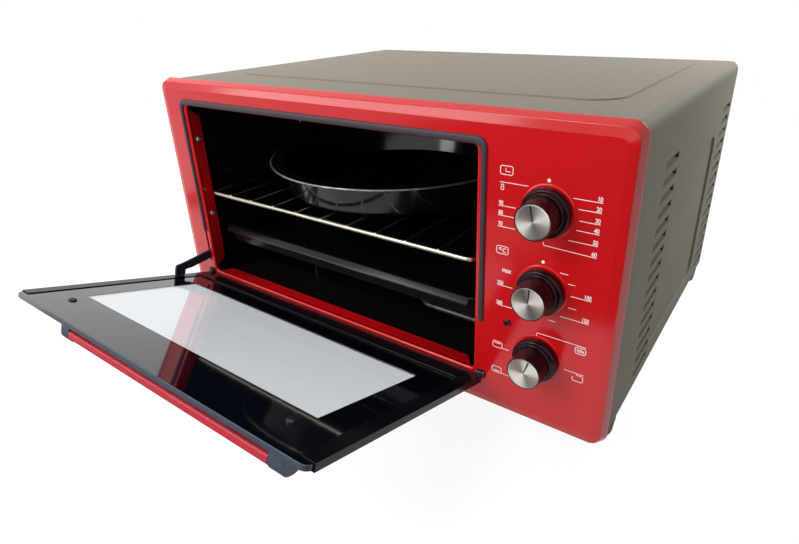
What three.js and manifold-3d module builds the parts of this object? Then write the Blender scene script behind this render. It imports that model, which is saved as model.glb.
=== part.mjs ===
// Countertop electric oven with a drop-down glass door, in millimetres.
// x runs to the right, y to the back and z up. The front face of the fascia is y = 0 and its bottom edge
// is z = 0, until the last lines move the origin to the middle of the surface that the feet stand on.
import * as THREE from "three";
import { mergeVertices } from "three/addons/utils/BufferGeometryUtils.js";
import Module from "manifold-3d";

const wasm = await Module();
wasm.setup();

// Overall sizes and sheet thicknesses
const overall = { width: 530, height: 264, depth: 400 };
const gap = 0.3;
const cut = 20;
const sheet = 1.5;
const casingSheet = 1.2;
const linerSheet = 1.2;

// Numbers of steps in an arc, and of facets round a round piece
const steps = { corner: 4, roll: 3, arc: 4 };
const facets = { rod: 10, small: 8, wire: 6, knob: 32, pan: 40, foot: 16 };

// Front fascia, its oven opening and the lips folded in round that opening
const fascia = { corner: 12, roll: 5, flange: 11 };
const opening = { fromLeft: 43.9, fromRight: 118.9, bottom: 34.5, fromTop: 27.5, corner: 5 };
const lip = { depth: 15.4, chamfer: 10 };
const seal = { beside: 6.4, width: 4.6, above: 7.2, under: 1, foot: 52.5, corner: 9 };

// Knobs, their shafts and the parts behind them
const knobPlace = { fromSide: 60.5, timerFromTop: 69, selector: 69, thermostatShare: 0.492 };
const knob = { skirt: 18.8, neck: 14.8, nose: 13.9, length: 24.6, rim: 6.5, wall: 2, cap: 13, capThick: 0.9 };
const knobFoot = 1.6;
const shaft = { radius: 3, grip: 12, tail: 14 };
const timer = { width: 46, height: 44, depth: 38, studRadius: 2.5, studLength: 22 };
const bell = { radius: 21, wall: 1.4, depth: 13, standOff: 3 };
const thermostat = { width: 40, height: 34, depth: 27 };
const selector = { width: 44, height: 40, depth: 33 };
const lamp = { fromSide: 88, aboveSelector: 24, lens: 3.5, proud: 1.4, neck: 2.7, body: 4.6, length: 21 };
const bulb = { radius: 2.6, capillary: 1.2, length: 95, start: 92, belowCeiling: 26, fromWall: 7, bend: 9 };

// Casing, back panel and base
const casing = { inset: 2.2, front: 8, corner: 10, bottom: 7 };
const topPanel = { fromSide: 37.8, front: 73, fromBack: 16, corner: 32, press: 1.3 };
const sidePanel = { front: 134, fromBack: 80, bottom: 25, fromTop: 70, corner: 16, press: 2.2 };
const louvre = {
  bottom: 19, below: 40, pitch: 13.8, height: 6.4, length: 44, lean: 4.2, tabShare: 0.86,
  front: 83, fromBack: 57,
};
const backVent = { count: 9, width: 5, height: 46, pitch: 17, rows: [60, 150], centre: -60 };
const baseVent = { count: 7, width: 6, length: 70, pitch: 22, y: 200, x: -60 };
const foot = { radius: 20, sole: 18.6, height: 18, fromSide: 0.2, fromFront: 41, fromBack: 21, lining: 5 };
const gland = { fromSide: 43, z: 34, bore: 3.6, neck: 6, flange: 10, flangeThick: 3.2, inside: 9 };
const terminal = { width: 42, depth: 18, height: 20, fromSide: 47, fromBack: 50 };
const shield = { beside: 19.9, sheet: 1.2, front: 12, fromBack: 24, fromTop: 14 };
const screw = { head: 3.4, headThick: 1.8, shank: 1.6, length: 9 };

// Oven liner with runners for the rack and the tray, and its heating elements
const liner = { fromBack: 50, below: 4.5, above: 3 };
const runner = { reach: 9.6, length: 26, thick: 4, front: 40, fromBack: 88 };
const levelShares = [0.2797, 0.4842, 0.6065, 0.7653];
const heater = {
  radius: 3.25, aboveFloor: 16, belowCeiling: 17, front: 70, fromBack: 58, fromLeft: 32.9, bend: 34,
  outside: 12, jogFromRight: 106.9, jogLength: 18, jogY: 56, jogBend: 10,
};
const clip = { fromBend: 80, width: 16, thick: 1.2, wall: 1.5 };
const lipScrew = { y: 9.2, above: 73.5, below: 38.5 };

// Wire rack, tray and round pan
const rack = { sideRoom: 6, front: 10, fromBack: 32, wire: 2.4, bend: 6 };
const crossWire = { count: 9, fromSide: 36, radius: 1.4, tip: 2, riseShare: 0.6 };
const tray = { sideRoom: 5.6, front: 13, fromBack: 28, rim: 5, depth: 20, sheet: 1.3, corner: 8 };
const trayLip = { reach: 6, drop: 6, fromSide: 10 };
const pan = {
  aside: 11.5, front: 7, sideRoom: 31.6, overhang: 1, taper: 19, flange: 13, height: 35, sheet: 1.4, bead: 2.2,
  lift: 0.3,
};

// Door, hung on an axis just in front of the fascia and shown open
const door = { beside: 9.65, above: 11.4, pivotY: -0.4, pivotDrop: 0.9, glassBack: -3.3, openAngle: 72 };
const glass = { thick: 4.5, corner: 6 };
const trim = { width: 12.5, proud: 0.9, wall: 1.5, fromTop: 5.7, start: 0.3, boss: 2.8, bossWidth: 5.8 };
const rail = { height: 24, proud: 1.5 };
const handle = { fromSide: 56.25, width: 18, thick: 8, standOff: 21.5, fromTop: 22.6, corner: 2.6 };
const bracket = { width: 14.5, height: 24, overhang: 4.5, corner: 5, screwIn: 10.4, screwDrop: 7 };
const pin = { radius: 1.7, length: 5 };
const ear = { wall: 1.8, back: 12, flange: 13, flangeHeight: 22, nose: 2.6 };
const arm = { inset: 2.75, thick: 2.6, width: 10.2, slotWidth: 5, slotRise: 13.4, hook: 6 };

// Path of the stay arm in the closed door's own plane, as y and z from the hinge axis
const armFoot = { z: 45.5, spread: 6.2 };
const armElbow = { y: 6.8, z: 42.3 };
const armEnd = { y: 25.2, z: -2.9 };

// Materials
function finish(color, roughness, metalness) {
  return new THREE.MeshStandardMaterial({ color, roughness, metalness });
}
const redEnamel = finish(0xc01f22, 0.25, 0.1);
const greyPaint = finish(0x7e7a72, 0.75, 0.2);
const blackEnamel = finish(0x0c0c10, 0.3, 0.1);
const greyRubber = finish(0x5a4a54, 0.8, 0);
const blackRubber = finish(0x1c1c1c, 0.85, 0);
const chrome = finish(0xd8d8d6, 0.2, 1);
const zincSteel = finish(0xb4b6b8, 0.45, 1);
const heaterSteel = finish(0x3a3936, 0.5, 0.8);
const blackPlastic = finish(0x1a191c, 0.35, 0);
const brownPlastic = finish(0x3a2a20, 0.5, 0);
const knobPlastic = finish(0x150508, 0.15, 0);
const spunAluminium = finish(0xbdb8b0, 0.3, 1);
const darkRedLens = finish(0x5a0a10, 0.2, 0);
const clearGlass = finish(0x161a22, 0.05, 0);
const slatePlastic = finish(0x3c4350, 0.45, 0);
const darkSteel = finish(0x262a33, 0.4, 0.7);

const oven = new THREE.Group();

// A closed three.js geometry as a solid that can be cut and joined
function solid(geometry) {
  geometry.deleteAttribute("normal");
  geometry.deleteAttribute("uv");
  const merged = mergeVertices(geometry);
  const corners = Array.from(merged.index.array);
  const faces = [];
  for (let i = 0; i < corners.length; i += 3) {
    const [a, b, c] = corners.slice(i, i + 3);
    if (a !== b && b !== c && c !== a) faces.push(a, b, c);
  }
  const vertProperties = new Float32Array(merged.attributes.position.array);
  return new wasm.Manifold(new wasm.Mesh({ numProp: 3, vertProperties, triVerts: new Uint32Array(faces) }));
}

// A solid as a named mesh of the oven
function piece(name, body, material, parent = oven) {
  const { vertProperties, triVerts } = body.getMesh();
  const geometry = new THREE.BufferGeometry();
  geometry.setAttribute("position", new THREE.BufferAttribute(vertProperties, 3));
  geometry.setIndex(new THREE.BufferAttribute(triVerts, 1));
  const mesh = new THREE.Mesh(geometry, material);
  mesh.name = name;
  parent.add(mesh);
  return mesh;
}

// A block between two values on each axis
function block([x0, x1], [y0, y1], [z0, z1]) {
  const geometry = new THREE.BoxGeometry(x1 - x0, y1 - y0, z1 - z0);
  geometry.translate((x0 + x1) / 2, (y0 + y1) / 2, (z0 + z1) / 2);
  return solid(geometry);
}

// Turns a shape's plane: its x, y and depth go to the axes named by the plane
const planes = {
  xy: [new THREE.Vector3(1, 0, 0), new THREE.Vector3(0, 1, 0), new THREE.Vector3(0, 0, 1)],
  yz: [new THREE.Vector3(0, 1, 0), new THREE.Vector3(0, 0, 1), new THREE.Vector3(1, 0, 0)],
};

// A flat shape in the plane xy, xz or yz, made thick from one value of the third axis to another
function slab(shape, plane, from, to) {
  const geometry = new THREE.ExtrudeGeometry(shape, {
    depth: to - from, bevelEnabled: false, curveSegments: steps.corner,
  });
  if (plane === "xz") {
    geometry.rotateX(Math.PI / 2);
    geometry.translate(0, to, 0);
    return solid(geometry);
  }
  geometry.translate(0, 0, from);
  geometry.applyMatrix4(new THREE.Matrix4().makeBasis(...planes[plane]));
  return solid(geometry);
}

// A rectangle with round corners
function roundRect(x0, x1, y0, y1, radius) {
  const shape = new THREE.Shape();
  shape.moveTo(x0 + radius, y0);
  shape.lineTo(x1 - radius, y0);
  shape.absarc(x1 - radius, y0 + radius, radius, -Math.PI / 2, 0, false);
  shape.lineTo(x1, y1 - radius);
  shape.absarc(x1 - radius, y1 - radius, radius, 0, Math.PI / 2, false);
  shape.lineTo(x0 + radius, y1);
  shape.absarc(x0 + radius, y1 - radius, radius, Math.PI / 2, Math.PI, false);
  shape.lineTo(x0, y0 + radius);
  shape.absarc(x0 + radius, y0 + radius, radius, Math.PI, 1.5 * Math.PI, false);
  return shape;
}

// A rectangle with square lower corners and round upper ones
function archShape(half, bottom, top, radius) {
  const shape = new THREE.Shape();
  shape.moveTo(-half, bottom);
  shape.lineTo(half, bottom);
  shape.lineTo(half, top - radius);
  shape.absarc(half - radius, top - radius, radius, 0, Math.PI / 2, false);
  shape.lineTo(-half + radius, top);
  shape.absarc(-half + radius, top - radius, radius, Math.PI / 2, Math.PI, false);
  return shape;
}

function polygon(...points) {
  return new THREE.Shape(points.map(([x, y]) => new THREE.Vector2(x, y)));
}

// A round rod along x, y or z between two values on that axis
function rod(axis, [a, b], radius, from, to, sides = facets.rod) {
  const geometry = new THREE.CylinderGeometry(radius, radius, to - from, sides);
  const middle = (from + to) / 2;
  if (axis === "x") geometry.rotateZ(Math.PI / 2).translate(middle, a, b);
  if (axis === "y") geometry.translate(a, middle, b);
  if (axis === "z") geometry.rotateX(Math.PI / 2).translate(a, b, middle);
  return solid(geometry);
}

// A turned body: its profile gives radius and height, from the foot of the outside to its top and back
function turned(profile, sides) {
  return solid(new THREE.LatheGeometry(profile.map(([r, h]) => new THREE.Vector2(r, h)), sides));
}

// A curve that runs straight from each point to the next, with one step for each stretch
class Route extends THREE.Curve {
  constructor(points) {
    super();
    this.points = points;
  }

  getPoint(share, target = new THREE.Vector3()) {
    const last = this.points.length - 1;
    const at = Math.min(Math.max(share, 0), 1) * last;
    const index = Math.min(Math.floor(at), last - 1);
    return target.lerpVectors(this.points[index], this.points[index + 1], at - index);
  }

  getUtoTmapping(share) {
    return share;
  }
}

// Corner points with each corner but the ends replaced by an arc
function rounded(corners, radius) {
  const points = [corners[0]];
  for (let i = 1; i < corners.length - 1; i += 1) {
    const before = corners[i - 1].clone().sub(corners[i]).normalize();
    const after = corners[i + 1].clone().sub(corners[i]).normalize();
    const half = before.angleTo(after) / 2;
    const toCentre = before.clone().add(after).normalize().multiplyScalar(radius / Math.sin(half));
    const centre = toCentre.add(corners[i]);
    const start = before.multiplyScalar(radius / Math.tan(half)).add(corners[i]).sub(centre);
    const end = after.multiplyScalar(radius / Math.tan(half)).add(corners[i]).sub(centre);
    const sweep = start.angleTo(end);
    for (let k = 0; k <= steps.arc; k += 1) {
      const share = k / steps.arc;
      const part = start.clone().multiplyScalar(Math.sin((1 - share) * sweep) / Math.sin(sweep));
      points.push(part.addScaledVector(end, Math.sin(share * sweep) / Math.sin(sweep)).add(centre));
    }
  }
  points.push(corners[corners.length - 1]);
  return points;
}

// A round tube along corner points with round bends
function tube(corners, radius, bend, sides = facets.small) {
  const points = rounded(corners.map((corner) => new THREE.Vector3(...corner)), bend);
  const section = new THREE.Shape();
  for (let i = 0; i < sides; i += 1) {
    const turn = (2 * Math.PI * i) / sides;
    const corner = [radius * Math.cos(turn), radius * Math.sin(turn)];
    if (i === 0) section.moveTo(...corner);
    else section.lineTo(...corner);
  }
  const geometry = new THREE.ExtrudeGeometry(section, {
    steps: points.length - 1, extrudePath: new Route(points), bevelEnabled: false,
  });
  return solid(geometry);
}

function join(bodies) {
  return bodies.reduce((whole, body) => whole.add(body));
}

// Places that several pieces share
const openingLeft = -overall.width / 2 + opening.fromLeft;
const openingRight = overall.width / 2 - opening.fromRight;
const openingHalf = (openingRight - openingLeft) / 2;
const openingCentre = openingLeft + openingHalf;
const openingTop = overall.height - opening.fromTop;
const linerLeft = openingLeft - sheet - gap;
const linerRight = openingRight + sheet + gap;
const linerFloor = opening.bottom - liner.below;
const linerCeiling = openingTop + liner.above;
const linerBack = overall.depth - liner.fromBack;
const levels = levelShares.map((share) => opening.bottom + share * (openingTop - opening.bottom));
const behindFascia = sheet + gap;
const caseHalf = overall.width / 2 - casing.inset;
const caseTop = overall.height - casing.inset;
const caseInside = caseHalf - casingSheet - gap;
const shaftHole = shaft.radius + gap;
const knobX = overall.width / 2 - knobPlace.fromSide;
const timerZ = overall.height - knobPlace.timerFromTop;
const thermostatZ = knobPlace.selector + knobPlace.thermostatShare * (timerZ - knobPlace.selector);
const knobHeights = { timer: timerZ, thermostat: thermostatZ, selector: knobPlace.selector };
const lampX = overall.width / 2 - lamp.fromSide;
const lampZ = knobPlace.selector + lamp.aboveSelector;
const bulbZ = linerCeiling - bulb.belowCeiling;
const glandX = overall.width / 2 - gland.fromSide;
const lipScrewHeights = [opening.bottom + lipScrew.above, openingTop - lipScrew.below];
const heaterLeft = linerLeft + heater.fromLeft;
const heaterBack = linerBack - heater.fromBack;
const lowerHeaterZ = linerFloor + heater.aboveFloor;
const upperHeaterZ = linerCeiling - heater.belowCeiling;
const rackHalf = openingHalf - rack.sideRoom;
const rackBack = linerBack - rack.fromBack;
const rackZ = levels[1] + gap + rack.wire;
const crossWireZ = rackZ + crossWire.riseShare * rack.wire;
const pivotZ = opening.bottom - door.pivotDrop;
const doorHalf = openingHalf + door.beside;
const doorHeight = openingTop - opening.bottom + door.above;
const doorFront = door.glassBack - glass.thick;
const hingeOuter = doorHalf + gap + ear.wall;
const handleHalf = doorHalf - handle.fromSide;
const handleTop = doorHeight - handle.fromTop;
const handleScrewX = handleHalf + bracket.screwIn;
const handleScrewZ = handleTop - bracket.screwDrop;
const armX = arm.inset - doorHalf;

// Two numbers in rising order
function span(a, b) {
  return [Math.min(a, b), Math.max(a, b)];
}

// Front fascia

function fasciaShell(inset) {
  const half = overall.width / 2 - inset;
  const roll = fascia.roll - inset;
  const shape = roundRect(-half, half, inset, overall.height - inset, fascia.corner - inset);
  const geometry = new THREE.ExtrudeGeometry(shape, {
    depth: fascia.flange + cut, bevelThickness: roll, bevelSize: roll, bevelOffset: -roll,
    bevelSegments: steps.roll, curveSegments: steps.corner,
  });
  geometry.rotateX(Math.PI / 2);
  geometry.translate(0, fascia.flange + cut + roll + inset, 0);
  return solid(geometry);
}

function sideLip(x) {
  const low = opening.bottom + opening.corner;
  const high = openingTop - opening.corner;
  const shape = polygon(
    [0, low], [lip.depth, low + lip.chamfer], [lip.depth, high - lip.chamfer], [0, high],
  );
  return slab(shape, "yz", x, x + sheet);
}

function levelLip(z) {
  const low = openingLeft + opening.corner;
  const high = openingRight - opening.corner;
  const shape = polygon(
    [low, 0], [high, 0], [high - lip.chamfer, lip.depth], [low + lip.chamfer, lip.depth],
  );
  return slab(shape, "xy", z, z + sheet);
}

function hingeSlot(side) {
  const inner = openingCentre + side * (doorHalf - trim.bossWidth - gap);
  const outer = openingCentre + side * (hingeOuter + gap);
  const below = pivotZ - Math.hypot(door.glassBack, trim.boss) - gap;
  const above = pivotZ + trim.boss + gap;
  return block(span(inner, outer), [-cut, cut], [below, above]);
}

function makeFascia() {
  const behind = [fascia.flange, fascia.flange + overall.depth];
  const back = block([-overall.width, overall.width], behind, [-cut, overall.height + cut]);
  let body = fasciaShell(0).subtract(back).subtract(fasciaShell(sheet));
  const hole = roundRect(openingLeft, openingRight, opening.bottom, openingTop, opening.corner);
  body = body.subtract(slab(hole, "xz", -cut, cut));
  body = join([body, sideLip(openingLeft - sheet), sideLip(openingRight)]);
  body = join([body, levelLip(opening.bottom - sheet), levelLip(openingTop)]);
  for (const z of Object.values(knobHeights)) {
    body = body.subtract(rod("y", [knobX, z], shaftHole, -cut, cut, facets.small));
  }
  body = body.subtract(rod("y", [lampX, lampZ], lamp.neck + gap, -cut, cut, facets.small));
  body = body.subtract(hingeSlot(-1)).subtract(hingeSlot(1));
  const slotX = openingCentre + armX;
  const slotSides = [slotX - arm.slotWidth / 2, slotX + arm.slotWidth / 2];
  const armReach = Math.hypot(armFoot.z + armFoot.spread, armElbow.y + arm.width / 4);
  body = body.subtract(block(slotSides, [-cut, cut], [pivotZ + arm.slotRise, pivotZ + armReach + gap]));
  for (const z of lipScrewHeights) {
    const ends = [openingLeft - cut, openingRight + cut];
    body = body.subtract(rod("x", [lipScrew.y, z], screw.shank + gap, ...ends, facets.small));
  }
  return body;
}
piece("front_fascia", makeFascia(), redEnamel);

// Seal round the top and both sides of the opening
function makeSeal() {
  const inner = openingHalf + seal.beside - seal.width / 2;
  const innerTop = openingTop + seal.under;
  const outerTop = openingTop + seal.above;
  const foot = opening.bottom + seal.foot;
  const front = door.pivotY + door.glassBack + trim.proud + gap;
  const outside = archShape(inner + seal.width, foot, outerTop, seal.corner);
  const inside = archShape(inner, foot - cut, innerTop, seal.corner - seal.width / 2);
  const strip = slab(outside, "xz", front, -gap).subtract(slab(inside, "xz", -cut, cut));
  return strip.translate(openingCentre, 0, 0);
}
piece("door_seal", makeSeal(), greyRubber);

// Casing of top and sides, with louvres and pressed panels

function louvreCut(side, y, z) {
  const sides = span(side * (caseHalf - cut / 2), side * (caseHalf + cut));
  return block(sides, [y, y + louvre.length], [z, z + louvre.height]);
}

function louvreTab(side, y, z) {
  const outer = caseHalf;
  const tip = outer - louvre.lean;
  const tabTop = z + louvre.tabShare * louvre.height;
  const root = z - casingSheet;
  const shape = polygon(
    [side * outer, root], [side * outer, z], [side * tip, tabTop],
    [side * (tip - casingSheet), tabTop], [side * (outer - casingSheet), root],
  );
  return slab(shape, "xz", y, y + louvre.length);
}

function makeCasing() {
  const arch = archShape(caseHalf, casing.bottom, caseTop, casing.corner);
  const whole = slab(arch, "xz", casing.front, overall.depth);
  const topHalf = caseHalf - topPanel.fromSide;
  const topBack = overall.depth - topPanel.fromBack;
  const topShape = roundRect(-topHalf, topHalf, topPanel.front, topBack, topPanel.corner);
  const raised = slab(topShape, "xy", caseTop - casingSheet, caseTop + topPanel.press);
  const hollow = archShape(
    caseHalf - casingSheet, casing.bottom - cut, caseTop - casingSheet, casing.corner - casingSheet,
  );
  let body = join([whole, raised]).subtract(slab(hollow, "xz", casing.front - cut, overall.depth + cut));
  const underTop = roundRect(
    casingSheet - topHalf, topHalf - casingSheet,
    topPanel.front + casingSheet, topBack - casingSheet, topPanel.corner - casingSheet,
  );
  const underside = caseTop - casingSheet;
  body = body.subtract(slab(underTop, "xy", underside - topPanel.press, underside + topPanel.press));
  const panelBack = overall.depth - sidePanel.fromBack;
  const panelTop = overall.height - sidePanel.fromTop;
  const panelShape = roundRect(sidePanel.front, panelBack, sidePanel.bottom, panelTop, sidePanel.corner);
  const backing = roundRect(
    sidePanel.front - casingSheet, panelBack + casingSheet,
    sidePanel.bottom - casingSheet, panelTop + casingSheet, sidePanel.corner + casingSheet,
  );
  const louvreRoom = caseTop - louvre.below - louvre.bottom - louvre.height;
  const louvreCount = Math.floor(louvreRoom / louvre.pitch) + 1;
  for (const side of [-1, 1]) {
    const pressed = caseHalf - sidePanel.press;
    const inner = span(side * (pressed - casingSheet), side * (caseHalf - casingSheet / 2));
    body = body.add(slab(backing, "yz", ...inner));
    body = body.subtract(slab(panelShape, "yz", ...span(side * pressed, side * (caseHalf + cut))));
    for (const y of [louvre.front, overall.depth - louvre.fromBack]) {
      for (let i = 0; i < louvreCount; i += 1) {
        const z = louvre.bottom + i * louvre.pitch;
        body = body.subtract(louvreCut(side, y, z)).add(louvreTab(side, y, z));
      }
    }
  }
  const notch = block([-overall.width, overall.width], [-cut, fascia.flange + gap], [-cut, fascia.corner]);
  return body.subtract(notch);
}
piece("outer_casing", makeCasing(), greyPaint);

// Back panel inside the casing's rear edge
function makeBackPanel() {
  const inner = casing.corner - casingSheet - gap;
  const shape = archShape(caseInside, casing.bottom, caseTop - casingSheet - gap, inner);
  const ends = [overall.depth - cut, overall.depth + cut];
  let body = slab(shape, "xz", overall.depth - casingSheet, overall.depth);
  for (const z of backVent.rows) {
    for (let i = 0; i < backVent.count; i += 1) {
      const x = backVent.centre + (i - (backVent.count - 1) / 2) * backVent.pitch;
      const sides = [x - backVent.width / 2, x + backVent.width / 2];
      body = body.subtract(block(sides, ends, [z, z + backVent.height]));
    }
  }
  return body.subtract(rod("y", [glandX, gland.z], gland.neck + gap, ...ends, facets.foot));
}
piece("back_panel", makeBackPanel(), zincSteel);

// Base plate between the casing's sides
function makeBase() {
  const ends = [fascia.flange + gap, overall.depth - casingSheet - gap];
  let body = block([-caseInside, caseInside], ends, [casing.bottom, casing.bottom + casingSheet]);
  for (let i = 0; i < baseVent.count; i += 1) {
    const x = baseVent.x + (i - (baseVent.count - 1) / 2) * baseVent.pitch;
    const sides = [x - baseVent.width / 2, x + baseVent.width / 2];
    body = body.subtract(block(sides, [baseVent.y, baseVent.y + baseVent.length], [-cut, cut]));
  }
  return body;
}
piece("base_plate", makeBase(), zincSteel);

// Feet under the base plate
function makeFoot(x, y) {
  const top = casing.bottom - gap;
  const sole = top - foot.height;
  const profile = [
    [0, sole], [foot.sole, sole], [foot.radius, top - foot.lining], [foot.radius, top], [0, top],
  ];
  return turned(profile, facets.foot).rotate([90, 0, 0]).translate(x, y, 0);
}
for (const [sideName, side] of [["left", -1], ["right", 1]]) {
  const x = side * (caseHalf - foot.fromSide - foot.radius);
  piece(`foot_front_${sideName}`, makeFoot(x, foot.fromFront), blackRubber);
  piece(`foot_back_${sideName}`, makeFoot(x, overall.depth - foot.fromBack), blackRubber);
}

// Oven liner

function runnerTabs(wallX, side) {
  const tabs = [];
  const sides = span(wallX, wallX - side * runner.reach);
  for (const level of levels) {
    for (const y of [runner.front, linerBack - runner.fromBack]) {
      tabs.push(block(sides, [y, y + runner.length], [level - runner.thick, level]));
    }
  }
  return tabs;
}

function linerSide(wallX, side) {
  const faces = span(wallX, wallX + side * linerSheet);
  const ends = [behindFascia, linerBack + linerSheet];
  const wall = block(faces, ends, [linerFloor - linerSheet, linerCeiling + linerSheet]);
  const tabRoot = wallX + (side * linerSheet) / 2;
  let body = join([wall, ...runnerTabs(tabRoot, side)]);
  for (const z of lipScrewHeights) {
    body = body.subtract(rod("x", [lipScrew.y, z], screw.shank + gap, wallX - cut, wallX + cut, facets.small));
  }
  return body;
}
piece("liner_left", linerSide(linerLeft, -1), blackEnamel);

// The right wall has holes for the ends of both heating elements and for the thin tube of the bulb
function makeLinerRight() {
  let body = linerSide(linerRight, 1);
  const ends = [linerRight - cut, linerRight + cut];
  const heaterEnds = [
    [heater.jogY, lowerHeaterZ], [heaterBack, lowerHeaterZ],
    [heater.front, upperHeaterZ], [heaterBack, upperHeaterZ],
  ];
  for (const place of heaterEnds) {
    body = body.subtract(rod("x", place, heater.radius + gap, ...ends, facets.small));
  }
  const tubePlace = [bulb.start - bulb.bend, bulbZ];
  return body.subtract(rod("x", tubePlace, bulb.capillary + 2 * gap, ...ends, facets.small));
}
piece("liner_right", makeLinerRight(), blackEnamel);

const linerInside = [linerLeft + gap, linerRight - gap];
const linerDepth = [behindFascia, linerBack - gap];
piece("liner_floor", block(linerInside, linerDepth, [linerFloor - linerSheet, linerFloor]), blackEnamel);
piece("liner_ceiling", block(linerInside, linerDepth, [linerCeiling, linerCeiling + linerSheet]), blackEnamel);
const linerHeight = [linerFloor - linerSheet, linerCeiling + linerSheet];
piece("liner_back", block(linerInside, [linerBack, linerBack + linerSheet], linerHeight), blackEnamel);

// Screws that hold the lips to the liner
function sideScrew(side, z) {
  const face = side < 0 ? openingLeft : openingRight;
  const headEnds = span(face - side * (gap / 2), face - side * (gap / 2 + screw.headThick));
  const shankEnds = span(face - side * gap, face + side * screw.length);
  const head = rod("x", [lipScrew.y, z], screw.head, ...headEnds);
  return head.add(rod("x", [lipScrew.y, z], screw.shank, ...shankEnds, facets.small));
}
piece("lip_screw_lower_left", sideScrew(-1, lipScrewHeights[0]), zincSteel);
piece("lip_screw_upper_left", sideScrew(-1, lipScrewHeights[1]), zincSteel);
piece("lip_screw_lower_right", sideScrew(1, lipScrewHeights[0]), zincSteel);
piece("lip_screw_upper_right", sideScrew(1, lipScrewHeights[1]), zincSteel);

// Heating elements, each one tube bent round the oven with its ends out through the right wall
function makeLowerHeater() {
  const z = lowerHeaterZ;
  const end = linerRight + heater.outside;
  const jogX = linerRight - heater.jogFromRight;
  const corners = [
    [end, heater.jogY, z], [jogX + heater.jogLength, heater.jogY, z], [jogX, heater.front, z],
    [heaterLeft, heater.front, z], [heaterLeft, heaterBack, z], [end, heaterBack, z],
  ];
  return tube(corners, heater.radius, heater.jogBend);
}
function makeUpperHeater() {
  const z = upperHeaterZ;
  const end = linerRight + heater.outside;
  const corners = [
    [end, heater.front, z], [heaterLeft, heater.front, z], [heaterLeft, heaterBack, z], [end, heaterBack, z],
  ];
  return tube(corners, heater.radius, heater.bend);
}
piece("lower_heater", makeLowerHeater(), heaterSteel);
piece("upper_heater", makeUpperHeater(), heaterSteel);

// Clips that hold the middle of each element to the floor and to the ceiling
function makeClip(z, foothold, side) {
  const x = heaterLeft + clip.fromBend;
  const reach = span(z - side * (heater.radius + clip.wall), foothold - side * gap);
  const sides = [heater.front - clip.width / 2, heater.front + clip.width / 2];
  const body = block([x, x + clip.thick], sides, reach);
  return body.subtract(rod("x", [heater.front, z], heater.radius + gap, x - cut, x + cut, facets.small));
}
piece("lower_heater_clip", makeClip(lowerHeaterZ, linerFloor, -1), zincSteel);
piece("upper_heater_clip", makeClip(upperHeaterZ, linerCeiling, 1), zincSteel);

// Heat shield between the liner and the controls
function makeShield() {
  const x = openingRight + shield.beside;
  const foothold = casing.bottom + casingSheet + gap;
  const ends = [shield.front, overall.depth - shield.fromBack];
  const body = block([x, x + shield.sheet], ends, [foothold, overall.height - shield.fromTop]);
  const tubePlace = [bulb.start - bulb.bend, bulbZ];
  return body.subtract(rod("x", tubePlace, bulb.capillary + 2 * gap, x - cut, x + cut, facets.small));
}
piece("heat_shield", makeShield(), zincSteel);

// Timer, thermostat and selector behind the fascia, each with a bore for its shaft
function controlBody(size, z) {
  const body = block(
    [knobX - size.width / 2, knobX + size.width / 2], [behindFascia, behindFascia + size.depth],
    [z - size.height / 2, z + size.height / 2],
  );
  return body.subtract(rod("y", [knobX, z], shaftHole, -cut, shaft.tail + gap, facets.small));
}
function makeTimer() {
  const back = behindFascia + timer.depth;
  const ends = [back - sheet, back + timer.studLength];
  return controlBody(timer, timerZ).add(rod("y", [knobX, timerZ], timer.studRadius, ...ends, facets.small));
}
piece("timer_body", makeTimer(), brownPlastic);
function makeBell() {
  const inner = bell.radius - bell.wall;
  const hole = timer.studRadius + gap;
  const crown = bell.depth - bell.wall / 2;
  const profile = [
    [bell.radius, 0], [bell.radius, bell.depth / 2], [bell.radius / 2, crown], [hole, bell.depth],
    [hole, bell.depth - bell.wall], [bell.radius / 2, crown - bell.wall], [inner, bell.depth / 2], [inner, 0],
    [bell.radius, 0],
  ];
  const front = behindFascia + timer.depth + bell.standOff;
  return turned(profile, facets.foot).translate(knobX, front, timerZ);
}
piece("timer_bell", makeBell(), zincSteel);
piece("thermostat_body", controlBody(thermostat, thermostatZ), brownPlastic);
piece("selector_switch", controlBody(selector, knobPlace.selector), brownPlastic);

// Capillary bulb on the liner's right wall, with its thin tube to the thermostat
function makeBulb() {
  const x = linerRight - bulb.fromWall;
  const far = behindFascia + thermostat.depth + gap;
  const y = bulb.start - bulb.bend;
  const corners = [
    [x, bulb.start + bulb.bend, bulbZ], [x, y, bulbZ], [knobX, y, bulbZ],
    [knobX, y, thermostatZ], [knobX, far, thermostatZ],
  ];
  const wire = tube(corners, bulb.capillary, bulb.bend / 2);
  return wire.add(rod("y", [x, bulbZ], bulb.radius, bulb.start, bulb.start + bulb.length));
}
piece("thermostat_bulb", makeBulb(), chrome);

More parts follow.
